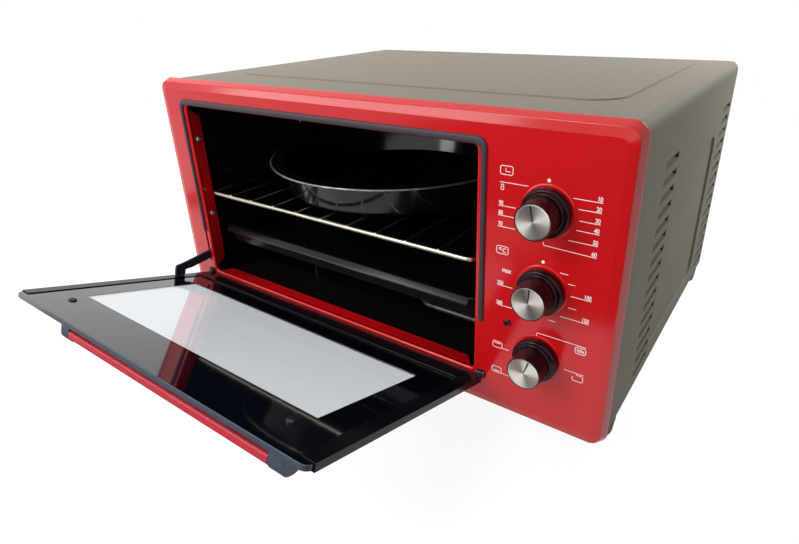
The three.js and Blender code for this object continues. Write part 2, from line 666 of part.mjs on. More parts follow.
// Shafts, knobs and knob caps, each set in its own group on the shaft's axis
for (const [name, z] of Object.entries(knobHeights)) {
  const group = new THREE.Group();
  group.position.set(knobX, 0, z);
  oven.add(group);
  const back = -knobFoot;
  const front = back - knob.length;
  const shaftFront = back - shaft.grip;
  const recess = front + knob.capThick + gap;
  const shell = [
    [0, recess], [knob.cap + gap, recess], [knob.cap + gap, front], [knob.nose - knob.wall / 4, front],
    [knob.nose, front + knob.wall / 2], [knob.neck, back - knob.rim],
    [knob.skirt - knob.wall, back - knob.rim + knob.wall / 2], [knob.skirt, back - knob.rim / 2],
    [knob.skirt, back - knob.wall / 2], [knob.skirt - knob.wall / 2, back],
    [shaftHole, back], [shaftHole, shaftFront - gap], [0, shaftFront - gap],
  ];
  piece(`${name}_knob`, turned(shell, facets.knob), knobPlastic, group);
  const cap = rod("y", [0, 0], knob.cap, front, front + knob.capThick, facets.knob);
  piece(`${name}_knob_cap`, cap, spunAluminium, group);
  const stem = rod("y", [0, 0], shaft.radius, shaftFront, shaft.tail, facets.small);
  piece(`${name}_shaft`, stem, zincSteel, group);
}

// Indicator lens in the fascia and the lamp behind it
function makeLens() {
  const back = sheet + gap;
  const profile = [
    [0, back], [lamp.neck, back], [lamp.neck, -gap], [lamp.lens, -gap],
    [lamp.lens, -gap - lamp.proud / 2], [lamp.lens / 2, -gap - lamp.proud], [0, -gap - lamp.proud],
  ];
  return turned(profile.reverse(), facets.rod).translate(lampX, 0, lampZ);
}
piece("indicator_lens", makeLens(), darkRedLens);
const lampFront = behindFascia + gap;
const lampBody = rod("y", [lampX, lampZ], lamp.body, lampFront, lampFront + lamp.length);
piece("indicator_lamp", lampBody, blackPlastic);

// Terminal block on the base, and the gland in the back panel
function makeTerminal() {
  const x = overall.width / 2 - terminal.fromSide;
  const y = overall.depth - terminal.fromBack;
  const foothold = casing.bottom + casingSheet + gap;
  const sides = [x - terminal.width / 2, x + terminal.width / 2];
  return block(sides, [y, y + terminal.depth], [foothold, foothold + terminal.height]);
}
piece("terminal_block", makeTerminal(), brownPlastic);
function makeGland() {
  const face = overall.depth + gap;
  const end = face + gland.flangeThick;
  const profile = [
    [gland.bore, overall.depth - gland.inside], [gland.neck, overall.depth - gland.inside], [gland.neck, face],
    [gland.flange, face], [gland.flange - gland.flangeThick / 3, end], [gland.bore, end],
    [gland.bore, overall.depth - gland.inside],
  ];
  return turned(profile, facets.foot).translate(glandX, 0, gland.z);
}
piece("lead_gland", makeGland(), blackRubber);

// Screws in the back panel's corners
const panelScrews = [
  ["lower_left", -1, foot.height], ["lower_right", 1, foot.height],
  ["upper_left", -1, caseTop - foot.height], ["upper_right", 1, caseTop - foot.height],
];
for (const [name, side, z] of panelScrews) {
  const x = side * (caseInside - casing.corner);
  const face = overall.depth + gap;
  piece(`case_screw_${name}`, rod("y", [x, z], screw.head, face, face + screw.headThick), zincSteel);
}

// Wire rack on its runners

function makeRack() {
  const reach = rackHalf - rack.wire;
  const bodies = [-1, 1].map((side) => {
    const start = openingCentre - side * crossWire.radius;
    const end = openingCentre + side * reach;
    const corners = [
      [start, rack.front, rackZ], [end, rack.front, rackZ], [end, rackBack, rackZ], [start, rackBack, rackZ],
    ];
    return tube(corners, rack.wire, rack.bend);
  });
  const ends = [rack.front - crossWire.tip, rackBack + crossWire.tip];
  for (let i = 0; i < crossWire.count; i += 1) {
    const share = (2 * i) / (crossWire.count - 1) - 1;
    const x = openingCentre + share * (rackHalf - crossWire.fromSide);
    bodies.push(rod("y", [x, crossWireZ], crossWire.radius, ...ends, facets.wire));
  }
  const middle = (rack.front + rackBack) / 2;
  const sides = [openingCentre - reach, openingCentre + reach];
  bodies.push(rod("x", [middle, rackZ], crossWire.radius, ...sides, facets.wire));
  return join(bodies);
}
piece("wire_rack", makeRack(), chrome);

// Baking tray on the lowest runners
function makeTray() {
  const rimBottom = levels[0] + gap;
  const floor = rimBottom - tray.depth;
  const outline = (inset, radius) => {
    const half = openingHalf - tray.sideRoom - inset;
    const back = linerBack - tray.fromBack - inset;
    const front = tray.front + trayLip.reach + inset;
    return roundRect(openingCentre - half, openingCentre + half, front, back, radius);
  };
  const bowlCorner = tray.corner - tray.rim / 2;
  const rim = slab(outline(0, tray.corner), "xy", rimBottom, rimBottom + tray.sheet);
  const bowl = slab(outline(tray.rim, bowlCorner), "xy", floor, rimBottom + tray.sheet / 2);
  const inside = outline(tray.rim + tray.sheet, bowlCorner - tray.sheet);
  return rim.add(bowl).subtract(slab(inside, "xy", floor + tray.sheet, rimBottom + cut)).add(makeTrayLip(rimBottom));
}

// The tray's front edge, folded down at a slant
function makeTrayLip(rimBottom) {
  const fold = tray.front + trayLip.reach + tray.sheet;
  const half = openingHalf - tray.sideRoom - trayLip.fromSide;
  const rimTop = rimBottom + tray.sheet;
  const shape = new THREE.Shape([
    new THREE.Vector2(fold, rimBottom), new THREE.Vector2(fold, rimTop),
    new THREE.Vector2(fold - tray.sheet, rimTop), new THREE.Vector2(tray.front, rimTop - trayLip.drop),
    new THREE.Vector2(tray.front, rimBottom - trayLip.drop),
  ]);
  return slab(shape, "yz", openingCentre - half, openingCentre + half);
}
piece("baking_tray", makeTray(), blackEnamel);

// Round pan on the rack, as wide as the rack's width and depth let it be
function makePan() {
  const rim = Math.min(rackHalf - pan.sideRoom, (rackBack - rack.front) / 2 + pan.overhang);
  const base = rim - pan.taper;
  const bottom = crossWireZ + crossWire.radius + pan.lift;
  const top = bottom + pan.height;
  const wall = rim - pan.flange;
  const round = pan.bead * 2;
  const profile = [
    [0, bottom], [base - round, bottom], [base, bottom + round], [wall, top - pan.sheet],
    [rim - pan.bead, top - pan.sheet], [rim - pan.bead, top - pan.bead], [rim, top - pan.bead],
    [rim, top - pan.bead / 2], [rim - pan.bead / 2, top], [wall - pan.sheet, top],
    [base - pan.sheet, bottom + round + pan.sheet], [base - round - pan.sheet, bottom + pan.sheet],
    [0, bottom + pan.sheet],
  ];
  const place = [openingCentre - pan.aside, pan.front + rim, 0];
  return turned(profile, facets.pan).rotate([90, 0, 0]).translate(...place);
}
piece("round_pan", makePan(), blackEnamel);

// Door, drawn closed about its hinge axis and then turned open
const doorGroup = new THREE.Group();
doorGroup.position.set(openingCentre, door.pivotY, pivotZ);
doorGroup.rotation.x = THREE.MathUtils.degToRad(door.openAngle);
oven.add(doorGroup);

function makeGlass() {
  const half = doorHalf - trim.wall - gap;
  const shape = roundRect(-half, half, trim.start + trim.wall + gap, doorHeight, glass.corner);
  let body = slab(shape, "xz", doorFront, door.glassBack);
  for (const side of [-1, 1]) {
    const place = [side * handleScrewX, handleScrewZ];
    body = body.subtract(rod("y", place, screw.shank + 2 * gap, doorFront - cut, cut, facets.small));
  }
  return body;
}

// A channel section that grips the edge of the glass, from its outer edge inwards
const gripFront = doorFront - gap;
const gripBack = door.glassBack + gap;
const trimFront = doorFront - trim.proud;
const trimBack = door.glassBack + trim.proud;
function channel(outer, inner) {
  const web = outer - Math.sign(outer - inner) * trim.wall;
  return polygon(
    [outer, trimFront], [inner, trimFront], [inner, gripFront], [web, gripFront],
    [web, gripBack], [inner, gripBack], [inner, trimBack], [outer, trimBack],
  );
}

// Side trim with a boss at its foot that turns on the hinge pin
function makeTrim(side) {
  const outer = side * doorHalf;
  const inner = side * (doorHalf - trim.width);
  const bossEnds = span(outer, side * (doorHalf - trim.bossWidth));
  const body = join([
    slab(channel(outer, inner), "xy", trim.start, doorHeight - trim.fromTop),
    rod("x", [0, 0], trim.boss, ...bossEnds, facets.foot),
    block(bossEnds, [gripBack, 0], [-trim.boss, trim.boss]),
    block(bossEnds, [gripBack, trimBack], [-trim.boss, 2 * trim.boss]),
  ]);
  const boreEnds = span(side * (doorHalf - pin.length - gap), side * (doorHalf + cut));
  return body.subtract(rod("x", [0, 0], pin.radius + gap, ...boreEnds));
}

function makeRail() {
  const half = doorHalf - trim.width - gap;
  const web = trim.start + trim.wall;
  const railFront = doorFront - rail.proud;
  const railBack = door.glassBack + rail.proud;
  const shape = polygon(
    [railFront, trim.start], [railBack, trim.start], [railBack, rail.height], [gripBack, rail.height],
    [gripBack, web], [gripFront, web], [gripFront, rail.height], [railFront, rail.height],
  );
  return slab(shape, "yz", -half, half);
}

piece("door_glass", makeGlass(), clearGlass, doorGroup);
piece("door_trim_left", makeTrim(-1), blackPlastic, doorGroup);
piece("door_trim_right", makeTrim(1), blackPlastic, doorGroup);
piece("door_bottom_rail", makeRail(), blackPlastic, doorGroup);

// Handle bar between two brackets that are screwed through the glass
const barBack = doorFront - handle.standOff;
function makeBar() {
  const shape = roundRect(barBack - handle.thick, barBack, handleTop - handle.width, handleTop, handle.corner);
  return slab(shape, "yz", gap - handleHalf, handleHalf - gap);
}
function makeBracket(side) {
  const front = barBack - handle.thick - bracket.overhang;
  const foot = handleTop - bracket.height;
  const shape = polygon(
    [gripFront, foot], [gripFront, handleTop],
    [front + bracket.corner, handleTop], [front, handleTop - bracket.corner],
    [front, foot + bracket.corner * 2], [front + bracket.corner, foot + bracket.corner / 2],
  );
  const body = slab(shape, "yz", ...span(side * handleHalf, side * (handleHalf + bracket.width)));
  const deep = [doorFront - screw.length, doorFront + cut];
  return body.subtract(rod("y", [side * handleScrewX, handleScrewZ], screw.shank + gap, ...deep, facets.small));
}
function makeHandleScrew(side) {
  const place = [side * handleScrewX, handleScrewZ];
  const head = rod("y", place, screw.head, gripBack, gripBack + screw.headThick);
  const tip = doorFront - screw.length + gap;
  return head.add(rod("y", place, screw.shank, tip, gripBack + gap, facets.small));
}
piece("handle_bar", makeBar(), redEnamel, doorGroup);
for (const [sideName, side] of [["left", -1], ["right", 1]]) {
  piece(`handle_bracket_${sideName}`, makeBracket(side), slatePlastic, doorGroup);
  piece(`handle_screw_${sideName}`, makeHandleScrew(side), zincSteel, doorGroup);
}

// Stay arm: a flat lever on the left trim that runs in through a slot of the fascia
function makeArm() {
  const elbow = new THREE.Vector2(armElbow.y, armElbow.z);
  const end = new THREE.Vector2(armEnd.y, armEnd.z);
  const along = end.clone().sub(elbow).normalize();
  const across = new THREE.Vector2(-along.y, along.x);
  // A point beside the arm's middle line, from its elbow or its end
  function beside(from, sideways, onwards) {
    return from.clone().addScaledVector(across, sideways).addScaledVector(along, onwards);
  }
  const half = arm.width / 2;
  const hookEdge = half + arm.hook / 2;
  const shape = new THREE.Shape([
    new THREE.Vector2(trimBack + gap, armFoot.z - armFoot.spread),
    new THREE.Vector2(armElbow.y - arm.width / 4, armFoot.z - armFoot.spread),
    beside(elbow, -half, arm.width), beside(end, -half, 0), beside(end, half, 0),
    beside(end, hookEdge, -gap), beside(end, hookEdge, -arm.hook), beside(end, half, -arm.hook),
    beside(elbow, half, arm.width / 4),
    new THREE.Vector2(armElbow.y + arm.width / 4, armFoot.z + armFoot.spread),
    new THREE.Vector2(trimBack + gap, armFoot.z + armFoot.spread),
  ]);
  return slab(shape, "yz", armX - arm.thick / 2, armX + arm.thick / 2);
}
piece("door_stay_arm", makeArm(), darkSteel, doorGroup);

// Hinge brackets behind the fascia, each with an ear and a pin that reach out through a slot
function makeHingeBracket(side) {
  const inner = side * (doorHalf + gap);
  const outer = side * hingeOuter;
  const faces = span(inner, outer);
  const back = behindFascia - door.pivotY;
  const flangeSides = span(inner, side * (hingeOuter + ear.flange));
  const body = join([
    rod("x", [0, 0], ear.nose, ...faces, facets.foot),
    block(faces, [0, ear.back], [-ear.nose, ear.nose]),
    block(flangeSides, [back, back + ear.wall], [-ear.flangeHeight / 2, ear.flangeHeight / 2]),
    rod("x", [0, 0], pin.radius, ...span(side * (doorHalf - pin.length), outer)),
  ]);
  return body.translate(openingCentre, door.pivotY, pivotZ);
}
piece("hinge_bracket_left", makeHingeBracket(-1), darkSteel);
piece("hinge_bracket_right", makeHingeBracket(1), darkSteel);

// The origin goes to the middle of the surface that the feet stand on, with the door open
const bounds = new THREE.Box3().setFromObject(oven);
const middle = bounds.getCenter(new THREE.Vector3());
oven.position.set(-middle.x, -middle.y, -bounds.min.z);

export default oven;
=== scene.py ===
"""Countertop electric oven with its glass door open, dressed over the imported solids.

Places are written in millimetres from the middle of the fascia's front face at its bottom edge: x to the
right, y to the back, z up. The function placed() turns them into metres in the frame of the solids.
"""
import math
import bmesh
import bpy
import numpy as np
from mathutils import Matrix, Vector


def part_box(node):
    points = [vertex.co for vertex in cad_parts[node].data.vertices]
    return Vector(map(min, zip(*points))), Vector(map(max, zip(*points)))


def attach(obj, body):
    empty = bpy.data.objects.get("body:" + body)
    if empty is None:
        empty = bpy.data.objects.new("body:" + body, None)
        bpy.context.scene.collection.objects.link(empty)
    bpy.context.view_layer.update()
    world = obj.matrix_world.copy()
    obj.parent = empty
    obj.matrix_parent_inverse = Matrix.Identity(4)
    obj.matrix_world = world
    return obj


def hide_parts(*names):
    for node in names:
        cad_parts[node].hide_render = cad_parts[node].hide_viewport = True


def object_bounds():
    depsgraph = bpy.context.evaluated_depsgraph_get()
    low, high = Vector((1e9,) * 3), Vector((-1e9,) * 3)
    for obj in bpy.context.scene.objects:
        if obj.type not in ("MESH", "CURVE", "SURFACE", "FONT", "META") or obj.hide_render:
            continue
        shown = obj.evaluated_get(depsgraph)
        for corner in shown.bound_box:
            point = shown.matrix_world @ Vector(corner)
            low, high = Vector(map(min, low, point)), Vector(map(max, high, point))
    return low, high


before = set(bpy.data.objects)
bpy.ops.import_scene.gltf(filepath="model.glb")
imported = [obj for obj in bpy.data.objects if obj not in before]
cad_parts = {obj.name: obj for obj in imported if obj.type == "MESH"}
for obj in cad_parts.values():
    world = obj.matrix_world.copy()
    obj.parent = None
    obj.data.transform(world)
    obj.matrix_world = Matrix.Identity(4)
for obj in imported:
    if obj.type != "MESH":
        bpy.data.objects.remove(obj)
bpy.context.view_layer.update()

MM = 0.001
FASCIA_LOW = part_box("front_fascia")[0]
ORIGIN = np.array([0.0, FASCIA_LOW.y, FASCIA_LOW.z])
# Least corner radius of an outline in millimetres, and the distance in metres within which points are merged
LEAST_RADIUS, MERGE = 1e-4, 1e-6

# Fascia, its opening and the folded lips. A region is its two edges across and its two edges up.
WIDTH, HEIGHT = 530.0, 264.0
FASCIA_CORNER, FLANGE, SLOPE_WIDTH = 12.0, 11.0, 10.5
SHEET, LIP_SHEET = 1.5, 1.2
FLAT_FACE = (-245.0, 245.0, 20.0, 244.0)
OPENING = (-221.1, 146.1, 34.5, 236.5)
OPENING_CENTRE, OPENING_CORNER = -37.5, 4.0
FOLD, FOLD_MARGIN, FOLD_DEPTH = 2.0, 3.0, 3.2
LIP_DEPTH, LIP_CHAMFER, LIP_ROOT = 15.2, 10.0, 3.8
LUG_SLOTS = [(-233.15, -224.65, 29.0, 36.7), (149.65, 158.15, 29.0, 36.7)]
ARM_SLOT = (-229.8, -226.2, 47.0, 86.4)

# Casing
CASE_HALF, CASE_TOP, CASE_BOTTOM, CASE_CORNER = 262.8, 261.8, 7.0, 10.0
CASE_FRONT, CASE_BACK = 8.0, 400.0
CASE_SHEET, HEM_TOP = 1.2, 18.0
TOP_PANEL, TOP_CORNER, TOP_PRESS = (-225.0, 225.0, 73.0, 384.0), 32.0, 1.3
SIDE_PANEL, SIDE_CORNER, SIDE_PRESS = (134.0, 320.0, 25.0, 194.0), 16.0, 2.2
PANEL_MARGIN, PRESS_WIDTH = 4.0, 1.2
LOUVRES, LOUVRE_BOTTOM, LOUVRE_PITCH = 15, 19.0, 13.8
LOUVRE_HEIGHT, LOUVRE_LENGTH, LOUVRE_LEAN, LOUVRE_CLIP = 6.4, 44.0, 4.6, 15.0
LOUVRE_COLUMNS = (83.0, 343.0)

# Controls: axes of the knobs, turn of each pointer in degrees, and the cap's radius, middle and hollow
KNOB_X = 204.5
KNOB_Z = {"timer": 195.0, "thermostat": 131.0, "selector": 69.0}
POINTER_TURN = {"timer": -12.0, "thermostat": 4.0, "selector": 18.0}
CAP_RADIUS, CAP_FACE, CAP_HOLLOW = 12.6, -25.95, 0.35

# Door, in its own plane: y and z from the hinge axis, turned by the angle at which it stands open
PIVOT_Y, PIVOT_Z, OPEN_ANGLE = -0.4, 33.6, math.radians(72.0)
GLASS_BACK, GLASS_THICK = -3.3, 4.5
GLASS_FRONT = GLASS_BACK - GLASS_THICK
GLASS_HALF, GLASS_BOTTOM, GLASS_TOP, GLASS_CORNER = 191.45, 2.1, 213.4, 6.0
WINDOW = (-155.4, 155.4, 48.3, 167.2)


# Shapes

def placed(points):
    """Millimetres from the fascia's lower edge become metres in the frame of the solids."""
    return np.asarray(points, float) * MM + ORIGIN


def on_door(points):
    """The door's own millimetres, x from its middle, y and z from its hinge axis, turned open about it."""
    x, y, z = np.moveaxis(np.asarray(points, float), -1, 0)
    c, s = math.cos(OPEN_ANGLE), math.sin(OPEN_ANGLE)
    return np.stack([x + OPENING_CENTRE, y * c - z * s + PIVOT_Y, y * s + z * c + PIVOT_Z], -1)


def middle_of(node):
    """The middle of a solid's box, in millimetres."""
    low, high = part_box(node)
    return (np.array((low + high) / 2) - ORIGIN) / MM


def grid(points, wrap_rows=False, wrap_columns=False):
    """Quads between neighbours of an array of points. A wrapped direction joins its last row to its first."""
    rows, columns = points.shape[:2]
    index = np.arange(rows * columns).reshape(rows, columns)
    if wrap_rows:
        index = np.concatenate([index, index[:1]], 0)
    if wrap_columns:
        index = np.concatenate([index, index[:, :1]], 1)
    quads = np.stack([index[:-1, :-1], index[1:, :-1], index[1:, 1:], index[:-1, 1:]], -1)
    return points.reshape(-1, 3), quads.reshape(-1, 4)


def arc_path(corners, radii, steps=6, closed=False):
    """A polyline with round corners. Each arc's centre lies on the corner's bisector, its ends touch both
    sides, and its points are the centre plus the two end spokes weighted by sines of the swept angle."""
    corners = np.asarray(corners, float)
    radii = np.broadcast_to(np.asarray(radii, float), len(corners))
    share = np.linspace(0.0, 1.0, steps + 1)[:, None]
    path = []
    for i, (corner, radius) in enumerate(zip(corners, radii)):
        if radius <= 0 or (not closed and i in (0, len(corners) - 1)):
            path.append(corner[None])
            continue
        before = corners[i - 1] - corner
        after = corners[(i + 1) % len(corners)] - corner
        before, after = before / np.linalg.norm(before), after / np.linalg.norm(after)
        half = math.acos(np.clip(before @ after, -1, 1)) / 2
        middle = (before + after) / np.linalg.norm(before + after)
        centre = corner + middle * radius / math.sin(half)
        start, end = (corner + side * radius / math.tan(half) - centre for side in (before, after))
        sweep = math.pi - 2 * half
        spokes = start * np.sin((1 - share) * sweep) + end * np.sin(share * sweep)
        path.append(centre + spokes / math.sin(sweep))
    return np.concatenate(path)


def round_box(x0, x1, z0, z1, radius, steps=8):
    """The outline of a rectangle with round corners, anticlockwise, with as many points at any size."""
    left, right, low, high = x0 + radius, x1 - radius, z0 + radius, z1 - radius
    middle = np.repeat([(right, high), (left, high), (left, low), (right, low)], steps + 1, axis=0)
    turn = np.linspace(0, math.pi / 2, steps + 1)
    turns = np.concatenate([turn + k * math.pi / 2 for k in range(4)])
    return middle + radius * np.stack([np.cos(turns), np.sin(turns)], -1)


def grown(edges, margin):
    """The edges of a region moved outwards by a margin."""
    x0, x1, z0, z1 = edges
    return x0 - margin, x1 + margin, z0 - margin, z1 + margin


def box_around(edges, margin, radius, steps=8):
    """The round-cornered outline of a region grown by a margin."""
    return round_box(*grown(edges, margin), max(radius, LEAST_RADIUS), steps)


def in_plane(outline, plane, level):
    """A flat outline set into the plane xz, yz or xy at one level of the third axis."""
    level = np.full(len(outline), float(level))
    a, b = outline[:, 0], outline[:, 1]
    order = {"xz": (a, level, b), "yz": (level, a, b), "xy": (a, b, level)}[plane]
    return np.stack(order, -1)


def loft(rings, wrap=True):
    """A skin over a stack of outlines that have equally many points."""
    return grid(np.stack(rings), wrap_columns=wrap)


def drawn_in(ring):
    """A ring of points that all lie at its middle, which closes a skin."""
    return np.repeat(ring.mean(0)[None], len(ring), 0)


def capped(rings):
    """A closed body: the stack of outlines with its first and last drawn in to their middles."""
    return loft([drawn_in(rings[0]), *rings, drawn_in(rings[-1])])


def strip(rows):
    """A band from rows of points that lie side by side, its two ends drawn in to their middles."""
    points = np.stack(rows, 1)
    first, last = (drawn_in(row)[None] for row in (points[0], points[-1]))
    return grid(np.concatenate([first, points, last]), wrap_columns=True)


def block(outline, plane, low, high, bevel, first=0.3):
    """A flat outline made thick, its edges eased: the rings step inwards by a first share of the bevel and
    then by the whole of it towards both faces."""
    middle = outline.mean(0)
    reach = np.linalg.norm(outline - middle, axis=1, keepdims=True)
    inner, near = (middle + (outline - middle) * (1 - share * bevel / reach) for share in (1.0, first))
    levels = [(inner, low), (near, low + first * bevel), (outline, low + bevel)]
    levels += [(outline, high - bevel), (near, high - first * bevel), (inner, high)]
    return capped([in_plane(ring, plane, level) for ring, level in levels])


def spun(profile, axis, centre, steps, ripple=None):
    """A turned skin: radius and height go round an axis. The ripple, a function of turn, height and radius,
    is taken off the radius."""
    turn = np.linspace(0, 2 * math.pi, steps, endpoint=False)[:, None]
    radius, height = np.asarray(profile, float).T[:, None]
    if ripple is not None:
        radius = radius - ripple(turn, height, radius)
    side = radius * np.cos(turn)
    up = radius * np.sin(turn)
    along = np.broadcast_to(height, side.shape)
    order = {"y": (side, along, up), "z": (side, up, along), "x": (along, side, up)}[axis]
    return grid(np.stack(order, -1) + np.asarray(centre, float), wrap_rows=True)


def smooth_step(steps):
    """Even shares from nought to one, and the cubic 3t^2 - 2t^3 of each."""
    share = np.linspace(0, 1, steps + 1)
    return share, share ** 2 * (3 - 2 * share)


def direction(path, closed):
    """The unit vector along a path at each of its points, from its neighbours on both sides."""
    along = np.roll(path, -1, 0) - np.roll(path, 1, 0) if closed else np.gradient(path, axis=0)
    return along / np.linalg.norm(along, axis=1, keepdims=True)


def rod_path(path, radius, sides, closed=False):
    """A round rod along a level path: each point plus the radius times the cosine along the path's side and
    the sine upwards. An open rod ends in two blunt caps, a quarter of its width deep."""
    path, up = np.asarray(path, float), np.array([0.0, 0.0, 1.0])
    along = direction(path, closed)
    girth = np.full(len(path), float(radius))
    if not closed:
        share, bulge = np.array([0.0, 0.5, 0.86]), 0.5
        start = path[0] - along[0] * radius * (1 - share[:, None]) * bulge
        end = path[-1] + along[-1] * radius * (1 - share[::-1, None]) * bulge
        path = np.concatenate([start, path, end])
        girth = np.concatenate([radius * share, girth, radius * share[::-1]])
        along = np.concatenate([np.repeat(along[:1], 3, 0), along, np.repeat(along[-1:], 3, 0)])
    side = np.cross(up, along)
    turn = np.linspace(0, 2 * math.pi, sides, endpoint=False)[None, :, None]
    ring = np.cos(turn) * side[:, None] + np.sin(turn) * up
    return grid(path[:, None] + girth[:, None, None] * ring, wrap_rows=closed, wrap_columns=True)


def plate(lines_a, lines_b, holes, plane, level):
    """A flat plate drawn on unequal grid lines, without the cells whose middle lies in a hole."""
    a, b = np.array(sorted(set(lines_a))), np.array(sorted(set(lines_b)))
    points = np.stack(np.meshgrid(a, b, indexing="ij"), -1)
    flat, quads = grid(in_plane(points.reshape(-1, 2), plane, level).reshape(*points.shape[:2], 3))
    middle_a = np.repeat((a[:-1] + a[1:]) / 2, len(b) - 1)
    middle_b = np.tile((b[:-1] + b[1:]) / 2, len(a) - 1)
    keep = np.ones(len(quads), bool)
    for a0, a1, b0, b1 in holes:
        keep &= ~((middle_a > a0) & (middle_a < a1) & (middle_b > b0) & (middle_b < b1))
    return flat, quads[keep]


def joined(patches):
    """Several patches as one list of points and faces."""
    points, faces, count = [], [], 0
    for vertices, quads in patches:
        points.append(vertices)
        faces.append(quads + count)
        count += len(vertices)
    return np.concatenate(points), np.concatenate(faces)


def opened(mesh):
    """A mesh opened for editing, with its doubles merged."""
    shell = bmesh.new()
    shell.from_mesh(mesh)
    bmesh.ops.remove_doubles(shell, verts=shell.verts, dist=MERGE)
    return shell


def shown(name, mesh, shell, smooth, material, body):
    """The edited mesh as an object that rides on a body. Edges sharper than the smooth angle stay crisp."""
    shell.to_mesh(mesh)
    shell.free()
    mesh.polygons.foreach_set("use_smooth", np.ones(len(mesh.polygons), bool))
    mesh.set_sharp_from_angle(angle=math.radians(smooth))
    mesh.materials.append(material)
    made = bpy.data.objects.new(name, mesh)
    bpy.context.scene.collection.objects.link(made)
    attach(made, body)
    return made


def piece(name, patches, material, body, replaces=(), smooth=35.0, door=False, outward=True):
    """Patches in millimetres become one object that rides on a body and may stand for solids. Doubles are
    merged and faces are turned outwards."""
    points, faces = joined(patches)
    if door:
        points = on_door(points)
    mesh = bpy.data.meshes.new(name)
    mesh.from_pydata(placed(points).tolist(), [], faces.tolist())
    shell = opened(mesh)
    bmesh.ops.dissolve_degenerate(shell, edges=shell.edges, dist=MERGE / 10)
    if outward:
        bmesh.ops.recalc_face_normals(shell, faces=shell.faces)
    made = shown(name, mesh, shell, smooth, material, body)
    if replaces:
        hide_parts(*replaces)


def eased(node, name, material, body, bevel, segments=2, corner=0.0):
    """A copy of a solid with its edges rounded, in its place. The corner radius is for its side view."""
    flat_angle, least_angle, crisp_angle = math.radians(1), math.radians(30), 40
    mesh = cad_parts[node].data.copy()
    mesh.name = name
    mesh.materials.clear()
    shell = opened(mesh)
    bmesh.ops.dissolve_limit(shell, angle_limit=flat_angle, verts=shell.verts, edges=shell.edges)
    if corner:
        across = [e for e in shell.edges if abs((e.verts[0].co - e.verts[1].co).normalized().x) > 0.99]
        bmesh.ops.bevel(shell, geom=across, offset=corner * MM, segments=6, profile=0.5, affect="EDGES",
                        clamp_overlap=True)
    made = shown(name, mesh, shell, crisp_angle, material, body)
    rounding = made.modifiers.new("eased edges", "BEVEL")
    rounding.width = bevel * MM
    rounding.segments = segments
    rounding.limit_method = "ANGLE"
    rounding.angle_limit = least_angle
    rounding.harden_normals = True
    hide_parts(node)


# Materials

def linear(hex_colour):
    """An sRGB hex colour as linear light."""
    values = [int(hex_colour[i:i + 2], 16) / 255 for i in (1, 3, 5)]
    return [v / 12.92 if v <= 0.04045 else ((v + 0.055) / 1.055) ** 2.4 for v in values] + [1.0]


def add(tree, kind, settings=None, *sources, **links):
    """One node with its settings, on sockets or attributes, and its inputs, in order or by socket name."""
    node = tree.nodes.new("ShaderNode" + kind)
    for socket, source in zip(node.inputs, sources):
        if isinstance(source, bpy.types.NodeSocket):
            tree.links.new(source, socket)
        else:
            socket.default_value = source
    for key, value in (settings or {}).items():
        if key in node.inputs:
            node.inputs[key].default_value = value
        else:
            setattr(node, key, value)
    for key, source in links.items():
        tree.links.new(source, node.inputs[key.replace("_", " ")])
    return node


def finish(name, colour, roughness, settings=None, texture=None):
    """A material on a Principled shader; the texture function may add colour, roughness and bump to it."""
    material = bpy.data.materials.new(name)
    material.use_nodes = True
    tree = material.node_tree
    shader = tree.nodes["Principled BSDF"]
    shader.inputs["Base Color"].default_value = linear(colour)
    shader.inputs["Roughness"].default_value = roughness
    for key, value in (settings or {}).items():
        shader.inputs[key].default_value = value
    if texture:
        texture(tree, shader)
    return material


def noise(tree, size_mm, detail):
    """Noise whose lumps are about as wide as the given size."""
    where = add(tree, "TexCoord").outputs["Object"]
    return add(tree, "TexNoise", {"Scale": 1 / (size_mm * MM), "Detail": detail}, Vector=where)


def grain(size_mm, height_mm, strength=1.0, detail=2.0):
    """A texture function: a bumpy grain of that width and height."""
    def texture(tree, shader):
        lumps = noise(tree, size_mm, detail).outputs["Fac"]
        bump = add(tree, "Bump", {"Strength": strength, "Distance": height_mm * MM}, Height=lumps)
        tree.links.new(bump.outputs["Normal"], shader.inputs["Normal"])
    return texture


def mottled(dark, light, size_mm, bump_mm=0.0, bump_size=None, rough=None, low=0.4, high=0.6):
    """A texture function: two colours in soft patches, with a finer grain of bumps and a roughness range."""
    def texture(tree, shader):
        patches = noise(tree, size_mm, 3.0).outputs["Fac"]
        mix = add(tree, "ValToRGB", None, Fac=patches)
        ramp = mix.color_ramp
        ramp.elements[0].position, ramp.elements[1].position = low, high
        ramp.elements[0].color, ramp.elements[1].color = linear(dark), linear(light)
        tree.links.new(mix.outputs["Color"], shader.inputs["Base Color"])
        if rough:
            spread = add(tree, "MapRange", {"To Min": rough[0], "To Max": rough[1]}, Value=patches)
            tree.links.new(spread.outputs["Result"], shader.inputs["Roughness"])
        if bump_mm:
            grain(bump_size or size_mm, bump_mm)(tree, shader)
    return texture


# Red gloss stove enamel, sprayed and baked: a hard clear shine with a faint orange peel
red_enamel = finish("red_stove_enamel", "#C40F15", 0.15, {"Specular IOR Level": 0.5},
                    grain(2.6, 0.008, 0.5, 1.0))
# Red epoxy paint on the handle, a little duller than the fascia
red_epoxy = finish("red_epoxy_paint", "#B42C3A", 0.42, {"Specular IOR Level": 0.4}, grain(0.8, 0.02, 0.6))
# Grey-brown textured powder coat: a matt surface of fine lumps, with darker patches painted between them as
# the shade of its hollows
powder_coat = finish("textured_powder_coat", "#7A756B", 0.65, {"Specular IOR Level": 0.08},
                     mottled("#756F64", "#827C72", 1.6, 0.07, 1.3, (0.55, 0.75), 0.38, 0.62))
